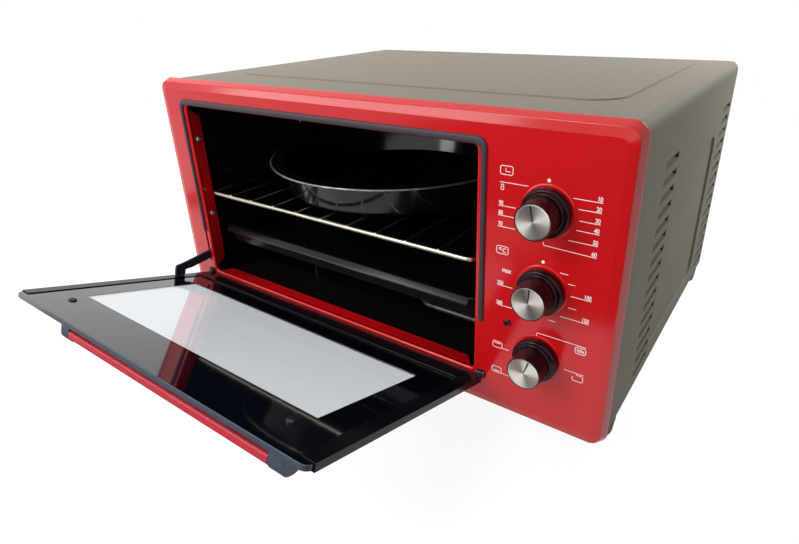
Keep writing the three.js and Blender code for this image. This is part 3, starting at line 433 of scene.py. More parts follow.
# The same coat painted darker on the louvre tabs as painted shade, so that the slots read as dark strips
louvre_shade_coat = finish("powder_coat_painted_shade", "#57524A", 0.7, {"Specular IOR Level": 0.08},
                   mottled("#504B44", "#615B52", 1.6, 0.05))
# Black vitreous enamel of the round pan, fused glass on steel, which mirrors the bright room before the oven
pan_enamel = finish("black_pan_enamel", "#0B0B0E", 0.14, {"Coat Weight": 0.15, "Coat Roughness": 0.12},
                    grain(16.0, 0.1, 0.4, 1.0))
# Rolled rim of the pan, where the enamel is thin and the steel shines through
worn_rim = finish("worn_rim_steel", "#8C8D90", 0.3, {"Metallic": 0.8},
                  mottled("#77787B", "#9B9CA0", 6.0, 0.01, 1.0))
# Black enamel of the tray, a little duller than the pan's, with faint grey specks
tray_enamel = finish("black_tray_enamel", "#0C0B0D", 0.3, {"Specular IOR Level": 0.3},
                     mottled("#0A090B", "#19181B", 2.0, 0.02, 1.2, (0.18, 0.3), 0.55, 0.75))
# Black enamel of the oven liner, duller than the pan's
liner_enamel = finish("black_liner_enamel", "#0D0B10", 0.35, {"Specular IOR Level": 0.12},
                      grain(9.0, 0.08, 0.5, 1.0))
# Grey-mauve silicone rubber seal, extruded and matt
silicone = finish("grey_silicone_rubber", "#3E323A", 0.5, {"Specular IOR Level": 0.3},
                  grain(0.9, 0.03, 0.5))
# Dark grey rubber feet, moulded
rubber = finish("dark_grey_moulded_rubber", "#4C4A48", 0.75, {}, grain(1.2, 0.05, 0.6))
# Bright chrome plated wire with the small unevenness of drawn steel
chrome = finish("chrome_plated_wire", "#B5AE9F", 0.26, {"Metallic": 1.0}, grain(3.0, 0.05, 0.5))
# Zinc plated sheet with its faint bluish patches
zinc = finish("zinc_plated_steel", "#B4B6B8", 0.4, {"Metallic": 1.0},
              mottled("#A9ABAE", "#B7B9BB", 16.0, 0.01, 0.8, (0.36, 0.44), 0.3, 0.7))
# Blackened screws of the handle
black_screw = finish("blackened_screw", "#4E4C4D", 0.4, {"Metallic": 1.0}, grain(0.6, 0.02, 0.5))
# Nickel plated screw heads
nickel = finish("nickel_plated_screw", "#C9C8C4", 0.25, {"Metallic": 1.0}, grain(0.6, 0.01, 0.5))
# Heating tube of oxidised steel, dark with a dull sheen
oxide_steel = finish("oxidised_steel_tube", "#4E4945", 0.4, {"Metallic": 0.8},
                     mottled("#443F3C", "#5C5651", 12.0, 0.02, 1.0, (0.34, 0.48)))
# Black ABS trims, moulded in a polished tool
black_abs = finish("black_abs_gloss", "#080A10", 0.2, {"Specular IOR Level": 0.2}, grain(0.7, 0.01, 0.4))
# Slate grey nylon of the handle brackets, moulded
slate_nylon = finish("slate_nylon", "#3D4654", 0.42, {}, grain(0.8, 0.02, 0.6))
# Near-black phenolic knobs, moulded and polished, with a dark red depth
phenolic = finish("dark_phenolic_gloss", "#1C050B", 0.12, {"Specular IOR Level": 0.2},
                  grain(6.0, 0.008, 0.3, 0.0))
# Brown phenolic bodies of the controls inside
brown_phenolic = finish("brown_phenolic_matt", "#3A2A20", 0.5, {}, grain(1.0, 0.03, 0.6))
# Dark blued steel of hinge and stay arm, stamped
blued_steel = finish("blued_stamped_steel", "#2A3446", 0.36, {"Metallic": 0.3}, grain(1.4, 0.02, 0.6))
# Toughened soda-lime glass, clear with a slight grey-green cast
clear_glass = finish("toughened_soda_lime_glass", "#DCE0E5", 0.0, {"Transmission Weight": 1.0, "IOR": 1.5})
# Ground edge of the glass, a dull grey-blue
glass_edge = finish("ground_glass_edge", "#3E4652", 0.3, {"Coat Weight": 0.3}, grain(0.6, 0.02, 0.4))
# Black ceramic frit fired on the glass, seen through its polished face
ceramic_print = finish("black_ceramic_frit", "#070A12", 0.06,
                       {"Coat Weight": 0.4, "Coat Roughness": 0.0, "IOR": 1.5}, grain(40.0, 0.01, 0.3, 0.0))
# White screen-print ink
white_ink = finish("white_screen_ink", "#F2EDEA", 0.5, {}, grain(0.4, 0.01, 0.3))
# Black screen-print ink of the pointers
black_ink = finish("black_screen_ink", "#161412", 0.45, {}, grain(0.4, 0.01, 0.3))
# Red acrylic lens, moulded
red_acrylic = finish("dark_red_acrylic", "#3A0609", 0.2, {"Specular IOR Level": 0.3}, grain(2.0, 0.02, 0.4))


def spun_marks_and_painted_highlight(x, z):
    """Concentric turning marks round one knob's axis, and two fans of painted highlight in the base colour,
    lighter and darker by the angle round the axis.
    """
    middle = tuple(placed([x, 0.0, z]))
    highlight_turn, highlight_start = math.radians(57), 0.25
    # turning marks 0.3 mm apart, coarser than real ones so that they show
    pace, depth, strength = 0.3 * MM, 0.01 * MM, 0.35

    def texture(tree, shader):
        place = add(tree, "TexCoord").outputs["Object"]
        out = add(tree, "VectorMath", {"operation": "SUBTRACT"}, place, middle).outputs["Vector"]
        across = add(tree, "VectorMath", {"operation": "CROSS_PRODUCT"}, out, (0.0, 1.0, 0.0))
        turned = {"vector_type": "VECTOR", "convert_from": "OBJECT", "convert_to": "WORLD"}
        world = add(tree, "VectorTransform", turned, across.outputs["Vector"])
        tree.links.new(world.outputs["Vector"], shader.inputs["Tangent"])
        # painted highlight: light and dark fans in the base colour, from the cosine of twice the angle round
        # the axis
        part = add(tree, "SeparateXYZ", None, out).outputs
        angle = add(tree, "Math", {"operation": "ARCTAN2"}, part["Z"], part["X"]).outputs["Value"]
        twice = add(tree, "Math", {"operation": "MULTIPLY_ADD"}, angle, 2.0, -2 * highlight_turn)
        highlight_fan = add(tree, "Math", {"operation": "COSINE"}, twice.outputs["Value"])
        share = add(tree, "MapRange", {"From Min": -1.0}, highlight_fan.outputs["Value"])
        mix = add(tree, "ValToRGB", None, share.outputs["Result"])
        dark, light = mix.color_ramp.elements
        dark.color, light.color, dark.position = linear("#9C938D"), linear("#F0ECE5"), highlight_start
        tree.links.new(mix.outputs["Color"], shader.inputs["Base Color"])
        far = add(tree, "VectorMath", {"operation": "LENGTH"}, out)
        paced = add(tree, "Math", {"operation": "MULTIPLY"}, far.outputs["Value"], 2 * math.pi / pace)
        rings = add(tree, "Math", {"operation": "SINE"}, paced.outputs["Value"]).outputs["Value"]
        bump = add(tree, "Bump", {"Strength": strength, "Distance": depth}, Height=rings)
        tree.links.new(bump.outputs["Normal"], shader.inputs["Normal"])
    return texture


# Solids that keep their own shape

def dress(names, material):
    """Gives a material to solids whose shape is kept as it is."""
    for name in names:
        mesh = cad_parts[name].data
        mesh.materials.clear()
        mesh.materials.append(material)


dress(["back_panel", "base_plate", "heat_shield", "timer_bell"], zinc)
dress(["timer_shaft", "thermostat_shaft", "selector_shaft"], zinc)
dress(["lower_heater_clip", "upper_heater_clip"], oxide_steel)
dress(["liner_left", "liner_right", "liner_floor", "liner_ceiling", "liner_back"], liner_enamel)
dress(["timer_body", "thermostat_body", "selector_switch", "terminal_block"], brown_phenolic)
dress(["thermostat_bulb"], chrome)
dress(["indicator_lamp"], black_abs)
dress(["lead_gland"], rubber)


# Fascia

def fascia_ring(inset, depth):
    """The fascia's outline drawn in by an inset, its corner radius shrinking by a share of it."""
    shrink, least, steps = 0.6, 2.0, 16
    radius = max(FASCIA_CORNER - shrink * inset, least)
    edges = (-WIDTH / 2 + inset, WIDTH / 2 - inset, inset, HEIGHT - inset)
    return in_plane(round_box(*edges, radius, steps), "xz", depth)


def make_lip(outline, plane, level, side):
    """One folded lip: its outline, as thick as the sheet, on the far side of the opening's edge."""
    low, high = sorted((level, level + side * LIP_SHEET))
    return block(arc_path(outline, [0.2, 3, 3, 0.2], 4, True), plane, low, high, 0.3)


def make_fascia():
    """One pressed sheet: flange, steep edge, sloping border and flat face, with a fold round the opening and
    four folded lips."""
    section = [(SHEET, FLANGE - 0.2), (0.3, FLANGE), (0.0, 9.4), (3.4, 1.5), (SLOPE_WIDTH, 0.0), (14.0, 0.0)]
    rolled = arc_path(section, [0, 0.4, 1.0, 1.2, 5.0, 0], 7)
    border = [fascia_ring(inset, depth) for inset, depth in rolled]
    patches = [loft([*border, in_plane(box_around(FLAT_FACE, 0.0, 0.0, 16), "xz", 0.0)])]

    around = grown(OPENING, FOLD_MARGIN)
    slots = [*LUG_SLOTS, ARM_SLOT]
    xs = [*FLAT_FACE[:2], *[x for hole in (around, *slots) for x in hole[:2]]]
    zs = [*FLAT_FACE[2:], *[z for hole in (around, *slots) for z in hole[2:]]]
    patches.append(plate(xs, zs, [around, *slots], "xz", 0.0))
    for hole in slots:
        ring = box_around(hole, 0.0, 0.0)
        patches.append(loft([in_plane(ring, "xz", depth) for depth in (0.0, SHEET)]))

    turn = np.linspace(0, math.pi / 2, 7)
    fold = [in_plane(box_around(around, 0.0, 0.0), "xz", 0.0)]
    for inset, depth in zip(FOLD * (1 - np.sin(turn)), FOLD * (1 - np.cos(turn))):
        fold.append(in_plane(box_around(OPENING, inset, OPENING_CORNER + inset), "xz", depth))
    fold.append(in_plane(box_around(OPENING, 0.0, OPENING_CORNER), "xz", FOLD_DEPTH))
    patches.append(loft(fold))
    x0, x1, z0, z1 = OPENING
    root, tip = LIP_ROOT, LIP_ROOT + LIP_CHAMFER
    for x, side in ((x0, -1), (x1, 1)):
        outline = [(FOLD, z0 + root), (LIP_DEPTH, z0 + tip), (LIP_DEPTH, z1 - tip), (FOLD, z1 - root)]
        patches.append(make_lip(outline, "yz", x, side))
    for z, side in ((z0, -1), (z1, 1)):
        outline = [(x0 + root, FOLD), (x0 + tip, LIP_DEPTH), (x1 - tip, LIP_DEPTH), (x1 - root, FOLD)]
        patches.append(make_lip(outline, "xy", z, side))
    return patches


piece("fascia_skin", make_fascia(), red_enamel, "oven", ["front_fascia"], 50.0)

# A shallow round plateau pressed forward behind each knob, its rim rising as a smooth step
share, rise = smooth_step(8)
plateau = [*zip(21.0 - 1.4 * share, 0.05 - 0.4 * rise), (15.0, -0.35), (4.0, -0.35)]
for name, z in KNOB_Z.items():
    piece(f"pressed_ring_{name}", [spun(plateau, "y", (KNOB_X, 0, z), 72)], red_enamel, "oven")


# Door seal

def make_seal():
    """A strip round three sides with a round front: every row lies between an outer and an inner arch."""
    foot, half = 87.0, 190.0
    arches = []
    for inset, top, radius in ((2.3, 243.7, 9.0), (-2.3, 237.5, 6.7)):
        left, right = OPENING_CENTRE - half - inset, OPENING_CENTRE + half + inset
        corners = [(left, foot), (left, top), (right, top), (right, foot)]
        arches.append(arc_path(corners, [0, radius, radius, 0], 8))
    outer, inner = arches
    section = [(0, -0.3), (0, -1.3), (0.12, -2.0), (0.32, -2.3),
               (0.68, -2.3), (0.88, -2.0), (1, -1.3), (1, -0.3)]
    return [strip([in_plane(outer * (1 - share) + inner * share, "xz", depth) for share, depth in section])]


piece("seal_strip", make_seal(), silicone, "oven", ["door_seal"], 50.0)


# Casing

def pressed_panel(edges, radius, plane, level, press):
    """A panel pressed out of a flat face: the flat ring round it, a smooth step and the flat middle."""
    corner_steps, step_steps = 12, 8
    rings = [in_plane(box_around(edges, PANEL_MARGIN, 0.0, corner_steps), plane, level)]
    share, rise = smooth_step(step_steps)
    for inset, height in zip(PRESS_WIDTH * share, press * rise):
        rings.append(in_plane(box_around(edges, -inset, radius - inset, corner_steps), plane, level + height))
    return loft([*rings, drawn_in(rings[-1])])


def make_casing():
    """Top and sides bent from one sheet, with round upper edges, a raised panel on top, a sunk panel on each
    side, and louvres whose tabs lean inwards from the lower edge of their slots and end in a slant."""
    patches, tabs = [], []
    flat_half, flat_top = CASE_HALF - CASE_CORNER, CASE_TOP - CASE_CORNER
    ends = (CASE_FRONT, CASE_BACK)
    turn = np.linspace(0, math.pi / 2, 10)
    bend = np.stack([flat_half + CASE_CORNER * np.cos(turn), flat_top + CASE_CORNER * np.sin(turn)], -1)
    for side in (-1, 1):
        patches.append(grid(np.stack([in_plane(bend * (side, 1), "xz", y) for y in ends])))
    around_top, around_side = grown(TOP_PANEL, PANEL_MARGIN), grown(SIDE_PANEL, PANEL_MARGIN)
    patches.append(pressed_panel(TOP_PANEL, TOP_CORNER, "xy", CASE_TOP, TOP_PRESS))
    xs = [-flat_half, flat_half, *around_top[:2]]
    patches.append(plate(xs, [*ends, *around_top[2:]], [around_top], "xy", CASE_TOP))
    feet = [LOUVRE_BOTTOM + i * LOUVRE_PITCH for i in range(LOUVRES)]
    slots = [(y, y + LOUVRE_LENGTH, z, z + LOUVRE_HEIGHT) for y in LOUVRE_COLUMNS for z in feet]
    ys = [*ends, *around_side[:2], *[y for slot in slots for y in slot[:2]]]
    zs = [CASE_BOTTOM, flat_top, *around_side[2:], *[z for slot in slots for z in slot[2:]]]
    share, tab_share, tab_curve, slot_depth = np.linspace(0, 1, 6), 0.9, 1.5, 1.0
    for side in (-1, 1):
        x, inner_x = side * CASE_HALF, side * (CASE_HALF - CASE_SHEET)
        patches.append(plate(ys, zs, [around_side, *slots], "yz", x))
        patches.append(pressed_panel(SIDE_PANEL, SIDE_CORNER, "yz", x, -side * SIDE_PRESS))
        for slot in slots:
            y0, y1, z0, z1 = slot
            height = z0 + (z1 - z0) * tab_share * share
            lean = x - side * LOUVRE_LEAN * share ** tab_curve
            sides = (np.full_like(lean, y0), y1 - LOUVRE_CLIP * share)
            tabs.append(grid(np.stack([np.stack([lean, y, height], -1) for y in sides])))
            edge = box_around(slot, 0.0, 0.0, 1)
            patches.append(loft([in_plane(edge, "yz", level) for level in (x, x - side * slot_depth)]))
        # the sheet's thickness at the back and along the foot, and the inner face of the foot
        rims = ([[(a, CASE_BACK, z) for a in (x, inner_x)] for z in (CASE_BOTTOM, flat_top)],
                [[(a, y, CASE_BOTTOM) for a in (x, inner_x)] for y in ends],
                [[(inner_x, y, z) for z in (CASE_BOTTOM, HEM_TOP)] for y in ends])
        patches += [grid(np.array(rim)) for rim in rims]
    arch = np.concatenate([[(-CASE_HALF, flat_top)], bend * (-1, 1), bend[::-1], [(CASE_HALF, flat_top)]])
    inner = arch * ((CASE_HALF - CASE_SHEET) / CASE_HALF, 1.0) - (0.0, CASE_SHEET)
    patches.append(loft([in_plane(row, "xz", CASE_BACK) for row in (arch, inner)], wrap=False))
    return patches, tabs


casing_sheet, louvre_tabs = make_casing()
piece("casing_skin", casing_sheet, powder_coat, "oven", ["outer_casing"], 14.0, outward=False)
# the louvre tabs carry the darker coat: painted shade of the slots
piece("louvre_tabs", louvre_tabs, louvre_shade_coat, "oven", outward=False)


# Feet: a moulded rubber foot with a rounded sole and a groove under its collar
foot_profile = arc_path([(0, -11.3), (18.4, -11.3), (19.7, 0.6), (19.2, 1.2), (20.0, 1.8), (20.0, 6.7),
                         (0, 6.7)], [0, 1.5, 0.4, 0.3, 0.4, 0.2, 0], 4)
for name in ("foot_front_left", "foot_front_right", "foot_back_left", "foot_back_right"):
    x, y = middle_of(name)[:2]
    piece(f"{name}_moulded", [spun(foot_profile, "z", (x, y, 0.0), 48)], rubber, "oven", [name], 40.0)


# Screws: a domed head with a cross recess cut as a dip of its height

def make_screw(centre, axis, way, radius=3.4, height=1.9):
    """A pan head whose middle carries a cross: the height dips where either arm's width is met."""
    doming, arm_half, arm_reach, arm_depth = 0.45, 0.5, 2.0, 0.9
    turn = np.linspace(0, 2 * math.pi, 48, endpoint=False)[:, None]
    reach = np.linspace(0, 1, 22)[None]
    a, b = radius * reach * np.cos(turn), radius * reach * np.sin(turn)
    far_a, far_b = np.abs(a), np.abs(b)
    cross = ((far_a < arm_half) & (far_b < arm_reach)) | ((far_b < arm_half) & (far_a < arm_reach))
    dome = height * (1 - doming * reach ** 2) * np.ones_like(turn) - arm_depth * cross
    seat = np.stack([a[:, -1:], b[:, -1:], np.zeros_like(a[:, -1:])], -1)
    a, b, h = np.moveaxis(np.concatenate([np.stack([a, b, dome], -1), seat], 1), -1, 0)
    order = {"x": (h * way, a, b), "y": (a, h * way, b)}[axis]
    return [grid(np.stack(order, -1) + np.asarray(centre, float), wrap_rows=True)]


SEAT_GAP = 0.1
for side, x, inward in (("left", OPENING[0], 1), ("right", OPENING[1], -1)):
    for level, z in (("lower", 108.0), ("upper", 198.0)):
        head = make_screw((x + inward * SEAT_GAP, 9.2, z), "x", inward)
        piece(f"lip_screw_{level}_{side}_head", head, nickel, "oven", [f"lip_screw_{level}_{side}"], 30.0,
              outward=False)
for name in ("lower_left", "lower_right", "upper_left", "upper_right"):
    x, z = middle_of(f"case_screw_{name}")[::2]
    head = make_screw((x, CASE_BACK + SEAT_GAP, z), "y", 1)
    piece(f"case_screw_{name}_head", head, nickel, "oven", [f"case_screw_{name}"], 30.0,
          outward=False)


# Controls

def make_knob(x, z):
    """A turned body with fine reeds on its neck, over a round glossy skirt. The reeds are a cosine of the
    turn, faded in and out with the height."""
    section = [(3.3, -1.6), (18.0, -1.6), (18.8, -2.6), (18.8, -6.6), (17.7, -8.1), (15.2, -8.3),
               (14.6, -9.6), (13.9, -25.6), (13.4, -26.1), (13.1, -26.1), (13.1, -25.0), (0.0, -25.0)]
    profile = arc_path(section, [0, 0.8, 0.8, 2.2, 1.6, 1.0, 0.8, 0.6, 0.2, 0, 0, 0], 5)
    count, steps, depth, inner_radius = 56, 6, 0.25, 13.2

    def reeds(turn, height, radius):
        neck = np.clip((-height - 10.0) / 1.2, 0, 1) * np.clip((height + 25.4) / 0.8, 0, 1)
        return depth * neck * (radius > inner_radius) * (0.5 - 0.5 * np.cos(turn * count))

    thirds = [np.linspace(a, b, 3, endpoint=False) for a, b in zip(profile[:-1], profile[1:])]
    return [spun(np.concatenate([*thirds, profile[-1:]]), "y", (x, 0, z), count * steps, reeds)]


def cap_level(share):
    """The level of the cap's hollow face at a share of its radius: a shallow bowl of the share squared."""
    return CAP_FACE + CAP_HOLLOW * (1 - share ** 2)


def make_cap(x, z):
    """A spun disc with a slightly rounded edge and a shallow hollow face."""
    share = np.linspace(1, 0, 14)
    edge = [(13.0, -25.05), (13.0, -25.8)]
    return [spun([*edge, *zip(CAP_RADIUS * share, cap_level(share))], "y", (x, 0, z), 96)]


def make_pointer(x, z, degrees):
    """A line that widens from near the middle to the edge, turned clockwise and laid on the cap's face."""
    turn, proud, sunk = math.radians(degrees), 0.06, 0.2
    a, b = arc_path([(-0.4, 0.6), (0.4, 0.6), (0.75, 12.2), (-0.75, 12.2)], 0.3, 4, True).T
    a, b = a * math.cos(turn) + b * math.sin(turn), -a * math.sin(turn) + b * math.cos(turn)
    level = cap_level(np.hypot(a, b) / CAP_RADIUS)
    return [capped([np.stack([a + x, level + lift, b + z], -1) for lift in (sunk, -proud)])]


for name, z in KNOB_Z.items():
    piece(f"{name}_knob_body", make_knob(KNOB_X, z), phenolic, name, [f"{name}_knob"], 40.0,
          outward=False)
    # spun aluminium whose colour carries painted highlight fans
    spun_metal = finish(f"spun_aluminium_painted_highlight_{name}", "#A8A29A", 0.5, {"Metallic": 1.0, "Anisotropic": 0.8},
                        spun_marks_and_painted_highlight(KNOB_X, z))
    piece(f"{name}_cap_disc", make_cap(KNOB_X, z), spun_metal, name, [f"{name}_knob_cap"], 40.0,
          outward=False)
    piece(f"{name}_pointer", make_pointer(KNOB_X, z, POINTER_TURN[name]), black_ink, name)

lens = arc_path([(3.5, 0.1), (3.5, -0.9), (1.6, -1.7), (0, -1.7)], [0, 0.6, 1.5, 0], 5)
piece("lens_dome", [spun(lens, "y", (177.0, 0, 93.0), 40)], red_acrylic, "oven", ["indicator_lens"], 50.0,
      outward=False)


# Dial print on the fascia

INK_Y = -0.06
STROKE, FRAME_STROKE, THIN_STROKE, HAND_STROKE, BAR_STROKE = 0.52, 0.55, 0.5, 0.6, 0.9
FRAME_CORNER, DOT = 1.6, 1.35


def stroke(points, width=STROKE, closed=False):
    """A flat line of ink: the path plus and minus half its width along its side."""
    path = in_plane(np.asarray(points, float), "xz", INK_Y)
    side = np.cross((0.0, 1.0, 0.0), direction(path, closed)) * width / 2
    return grid(np.stack([path + side, path - side], 1), wrap_rows=closed)


def bent(points, radii, width=STROKE):
    """A line of ink with round corners."""
    return stroke(arc_path(points, radii, 5), width)


def loop(x0, x1, z0, z1, radius, steps, width):
    """A closed line of ink round a region with round corners."""
    return stroke(round_box(x0, x1, z0, z1, radius, steps), width, True)


def frame_mark(*edges):
    """The rounded frame of a pictogram."""
    return loop(*edges, FRAME_CORNER, 5, FRAME_STROKE)


def dot(x, z):
    """A flat round dot."""
    turn = np.linspace(0, 2 * math.pi, 28, endpoint=False)
    rim = in_plane(np.stack([x + DOT * np.cos(turn), z + DOT * np.sin(turn)], -1), "xz", INK_Y)
    return loft([rim, drawn_in(rim)])


marks = [dot(KNOB_X - 0.5, 218.2), dot(KNOB_X - 0.5, 154.7)]
# level lines of the three scales: both ends and the height
marks += [stroke([(x0, z), (x1, z)]) for x0, x1, z in (
    (222.5, 243.1, 208.3), (226.8, 243.1, 201.0), (228.2, 243.1, 192.6), (226.8, 243.1, 185.2),
    (221.5, 243.1, 176.4), (165.4, 179.6, 192.8), (165.2, 178.4, 185.0), (165.3, 179.8, 175.9),
    (165.8, 188.8, 211.4), (217.6, 223.9, 149.2), (224.4, 229.8, 141.9), (227.4, 242.8, 132.4),
    (226.1, 232.4, 122.3), (220.7, 242.9, 113.0), (211.4, 217.2, 106.8), (167.3, 180.0, 125.4),
    (168.0, 180.6, 107.2), (227.7, 243.4, 66.8), (172.0, 179.6, 66.3), (172.0, 180.8, 40.6))]
marks += [bent([(203.0, 170.8), (203.2, 168.3), (243.1, 167.4)], [0, 0.8, 0]),
          bent([(203.0, 89.4), (203.0, 92.2), (243.1, 92.2)], [0, 0.8, 0])]
# a clock and a degree in frames
hands = [(170.4, 222.4), (170.4, 219.8), (174.0, 219.8)]
degree = [(173.2, 157.8), (170.4, 157.8), (170.4, 154.8), (173.2, 154.8)]
marks += [frame_mark(165.9, 176.1, 217.4, 224.0), stroke(hands, HAND_STROKE)]
marks += [frame_mark(165.0, 175.0, 153.2, 159.6), loop(167.2, 169.0, 156.4, 158.2, 0.85, 4, THIN_STROKE),
          bent(degree, [0, 1.4, 1.4, 0], HAND_STROKE)]
# cooking modes: a bar above, a bar below, slanting strokes and an open box
marks += [frame_mark(164.6, 173.2, 65.6, 71.6), stroke([(166.2, 70.0), (171.6, 70.0)], BAR_STROKE)]
marks += [frame_mark(164.6, 173.4, 40.2, 46.0), stroke([(166.2, 41.8), (171.8, 41.8)], BAR_STROKE)]
marks += [frame_mark(234.9, 243.1, 85.2, 90.8)]
marks += [stroke(ends, HAND_STROKE) for ends in (
    [(236.2, 89.4), (241.6, 86.6)], [(238.6, 89.4), (242.0, 87.6)], [(236.0, 87.8), (239.2, 86.4)])]
marks += [bent([(237.4, 65.4), (243.2, 65.4), (243.2, 59.6), (234.8, 59.6), (234.8, 63.4)],
               [0, 1.6, 1.6, 1.6, 0], FRAME_STROKE)]
# two loops, one on the other, at the start of the upper scale
marks += [loop(166.8, 169.2, 205.4, 207.8, 1.15, 5, FRAME_STROKE),
          loop(167.0, 169.0, 207.8, 209.8, 0.95, 5, FRAME_STROKE)]
piece("dial_print", marks, white_ink, "oven", smooth=180.0, outward=False)


def number(text, x, z, height):
    """A number in upright figures, made a mesh before it is placed: x is its middle and z its foot."""
    capital_share, weight, spacing, narrow = 0.7, 0.08, 0.95, 0.8
    curve = bpy.data.curves.new(f"figure_{text}", "FONT")
    curve.body = text
    curve.size = height * MM / capital_share
    curve.align_x = "CENTER"
    curve.resolution_u = 4
    curve.offset = weight * MM
    curve.space_character = spacing
    source = bpy.data.objects.new(f"figure_{text}", curve)
    bpy.context.scene.collection.objects.link(source)
    bpy.context.view_layer.update()
    mesh = bpy.data.meshes.new_from_object(source)
    bpy.data.objects.remove(source)
    mesh.transform(Matrix.Rotation(math.pi / 2, 4, "X"))
    mesh.transform(Matrix.Scale(narrow, 4, (1, 0, 0)))
    mesh.transform(Matrix.Translation(Vector(placed([x, INK_Y, z]))))
    return mesh


def make_numbers(name, table):
    """All figures of one dial as one object."""
    shell = bmesh.new()
    for text, x, z, height in table:
        mesh = number(text, x, z, height)
        shell.from_mesh(mesh)
        bpy.data.meshes.remove(mesh)
    whole = bpy.data.meshes.new(name)
    shell.to_mesh(whole)
    shell.free()
    made = bpy.data.objects.new(name, whole)
    bpy.context.scene.collection.objects.link(made)
    whole.materials.append(white_ink)
    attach(made, "oven")


DIGIT, WORD = 3.4, 4.2
scale = [("10", 209.0), ("20", 201.7), ("30", 193.3), ("40", 185.9), ("50", 177.1), ("60", 168.2)]
left_scale = [("90", 193.5), ("80", 185.7), ("70", 176.6)]
make_numbers("timer_numbers", [(text, 241.0, z, DIGIT) for text, z in scale]
             + [(text, 167.4, z, DIGIT) for text, z in left_scale])
make_numbers("thermostat_numbers", [("100", 240.0, 133.1, DIGIT), ("150", 240.0, 113.7, DIGIT),
                                    ("250", 169.2, 126.1, DIGIT), ("200", 169.1, 107.9, DIGIT),
                                    ("max", 174.4, 137.8, WORD)])


# Rack, tray and pan

RACK_Z, RACK_HALF, RACK_FRONT, RACK_BACK = 135.0, 177.6, 10.0, 318.0
# Radii in the solids and, a little less, in the scene, so that nothing stands out of the solids
FRAME_WIRE, CROSS_WIRE, WIRE_SPARE = 2.4, 1.4, 0.05
CROSS_WIRES, CROSS_PITCH, CROSS_RISE, CROSS_REACH = 9, 35.4, 1.44, 1.2


def make_rack():
    """A frame of thick wire bent round four corners, thin wires welded across it from front to back and one
    from side to side."""
    left, right = OPENING_CENTRE - RACK_HALF + FRAME_WIRE, OPENING_CENTRE + RACK_HALF - FRAME_WIRE
    corners = [(left, RACK_FRONT), (right, RACK_FRONT), (right, RACK_BACK), (left, RACK_BACK)]
    outline = in_plane(arc_path(corners, 6.0, 8, True), "xy", RACK_Z)
    patches = [rod_path(outline, FRAME_WIRE - WIRE_SPARE, 16, True)]
    level, straight = RACK_Z + CROSS_RISE, 6
    ys = [RACK_FRONT - CROSS_REACH, RACK_FRONT + straight, RACK_BACK - straight, RACK_BACK + CROSS_REACH]
    for i in range(CROSS_WIRES):
        x = OPENING_CENTRE + (i - CROSS_WIRES // 2) * CROSS_PITCH
        patches.append(rod_path([(x, y, level) for y in ys], CROSS_WIRE - WIRE_SPARE, 10))
    middle = (RACK_FRONT + RACK_BACK) / 2
    row = [(x, middle, RACK_Z) for x in (left, left + 5, right - 5, right)]
    patches.append(rod_path(row, CROSS_WIRE - WIRE_SPARE, 10))
    return patches


piece("rack_wires", make_rack(), chrome, "rack", ["wire_rack"], 60.0)

TRAY_RIM, TRAY_HALF = 91.3, 178.0


def make_tray():
    """A pressed tray: round boxes step up from the underside of its floor, over the rolled rim and down to
    the floor inside. Its front edge is a lip that falls at a slant, one rounded section carried across."""
    left, right = OPENING_CENTRE - TRAY_HALF, OPENING_CENTRE + TRAY_HALF
    corner, shrink, least = 8.0, 0.5, 3.0
    # inset from the tray's edge and height over the underside of its rim
    rim = arc_path([(5.3, -19.9), (5.3, 0.0), (1.0, 0.0), (0.0, 0.6), (1.0, 1.25), (6.4, 1.25), (7.2, -18.8)],
                   [0, 1.0, 0.5, 0.6, 0.5, 1.4, 0], 5)
    profile = [(57.0, -20.0), (9.0, -20.0), *rim, (11.0, -18.9), (57.0, -18.9)]
    edges, rings = (left, right, 19.0, 322.0), []
    for inset, height in profile:
        outline = box_around(edges, -inset, max(corner - shrink * inset, least), 10)
        rings.append(in_plane(outline, "xy", TRAY_RIM + height))
    lip = arc_path([(20.6, 0.1), (20.6, 1.24), (18.8, 1.24), (14.2, -3.2), (13.1, -5.9)],
                   [0, 0, 1.2, 1.5, 0.4], 5, True) + (0.0, TRAY_RIM)
    middle = lip.mean(0)
    ends = [(left + 10.1, 0.8), (left + 10.4, 1.0), (right - 10.4, 1.0), (right - 10.1, 0.8)]
    return [capped(rings), capped([in_plane(middle + (lip - middle) * share, "yz", x) for x, share in ends])]


piece("tray_pressing", make_tray(), tray_enamel, "tray", ["baking_tray"], 50.0)

PAN_CENTRE, PAN_STEPS, PAN_GAP = (-49.0, 153.0, 0.0), 160, 0.3
PAN_HEIGHT, PAN_SHEET = 35.0, 1.4
PAN_BOTTOM = RACK_Z + CROSS_RISE + CROSS_WIRE + PAN_GAP


def make_pan():
    """A spun round pan: flat base, steep wall, a flat flange at its top, and the same curve inside."""
    z, top, wall = PAN_BOTTOM, PAN_BOTTOM + PAN_HEIGHT, PAN_SHEET
    section = [(0, z), (127.0, z), (132.6, top - wall), (144.4, top - wall), (144.4, top - 0.2),
               (131.6, top - 0.1), (125.6, z + wall), (0, z + wall)]
    return [spun(arc_path(section, [0, 6.0, 1.2, 0.3, 0.3, 1.2, 5.0, 0], 8), "z", PAN_CENTRE, PAN_STEPS)]


def make_bead():
    """The rolled edge of the flange: a small circle carried round the pan."""
    radius, middle = 1.1, (144.8, PAN_BOTTOM + 33.9)
    turn = np.linspace(0, -2 * math.pi, 13)
    bead = np.stack([middle[0] + radius * np.cos(turn), middle[1] + radius * np.sin(turn)], -1)
    return [spun(bead, "z", PAN_CENTRE, PAN_STEPS)]


piece("pan_spinning", make_pan(), pan_enamel, "pan", ["round_pan"], 50.0, outward=False)
piece("pan_rim_bead", make_bead(), worn_rim, "pan")


# Heating elements

def heating_tube(corners, radii, steps, z):
    """A bent round tube at one level."""
    return [rod_path(in_plane(arc_path(corners, radii, steps), "xy", z), 3.2, 18)]


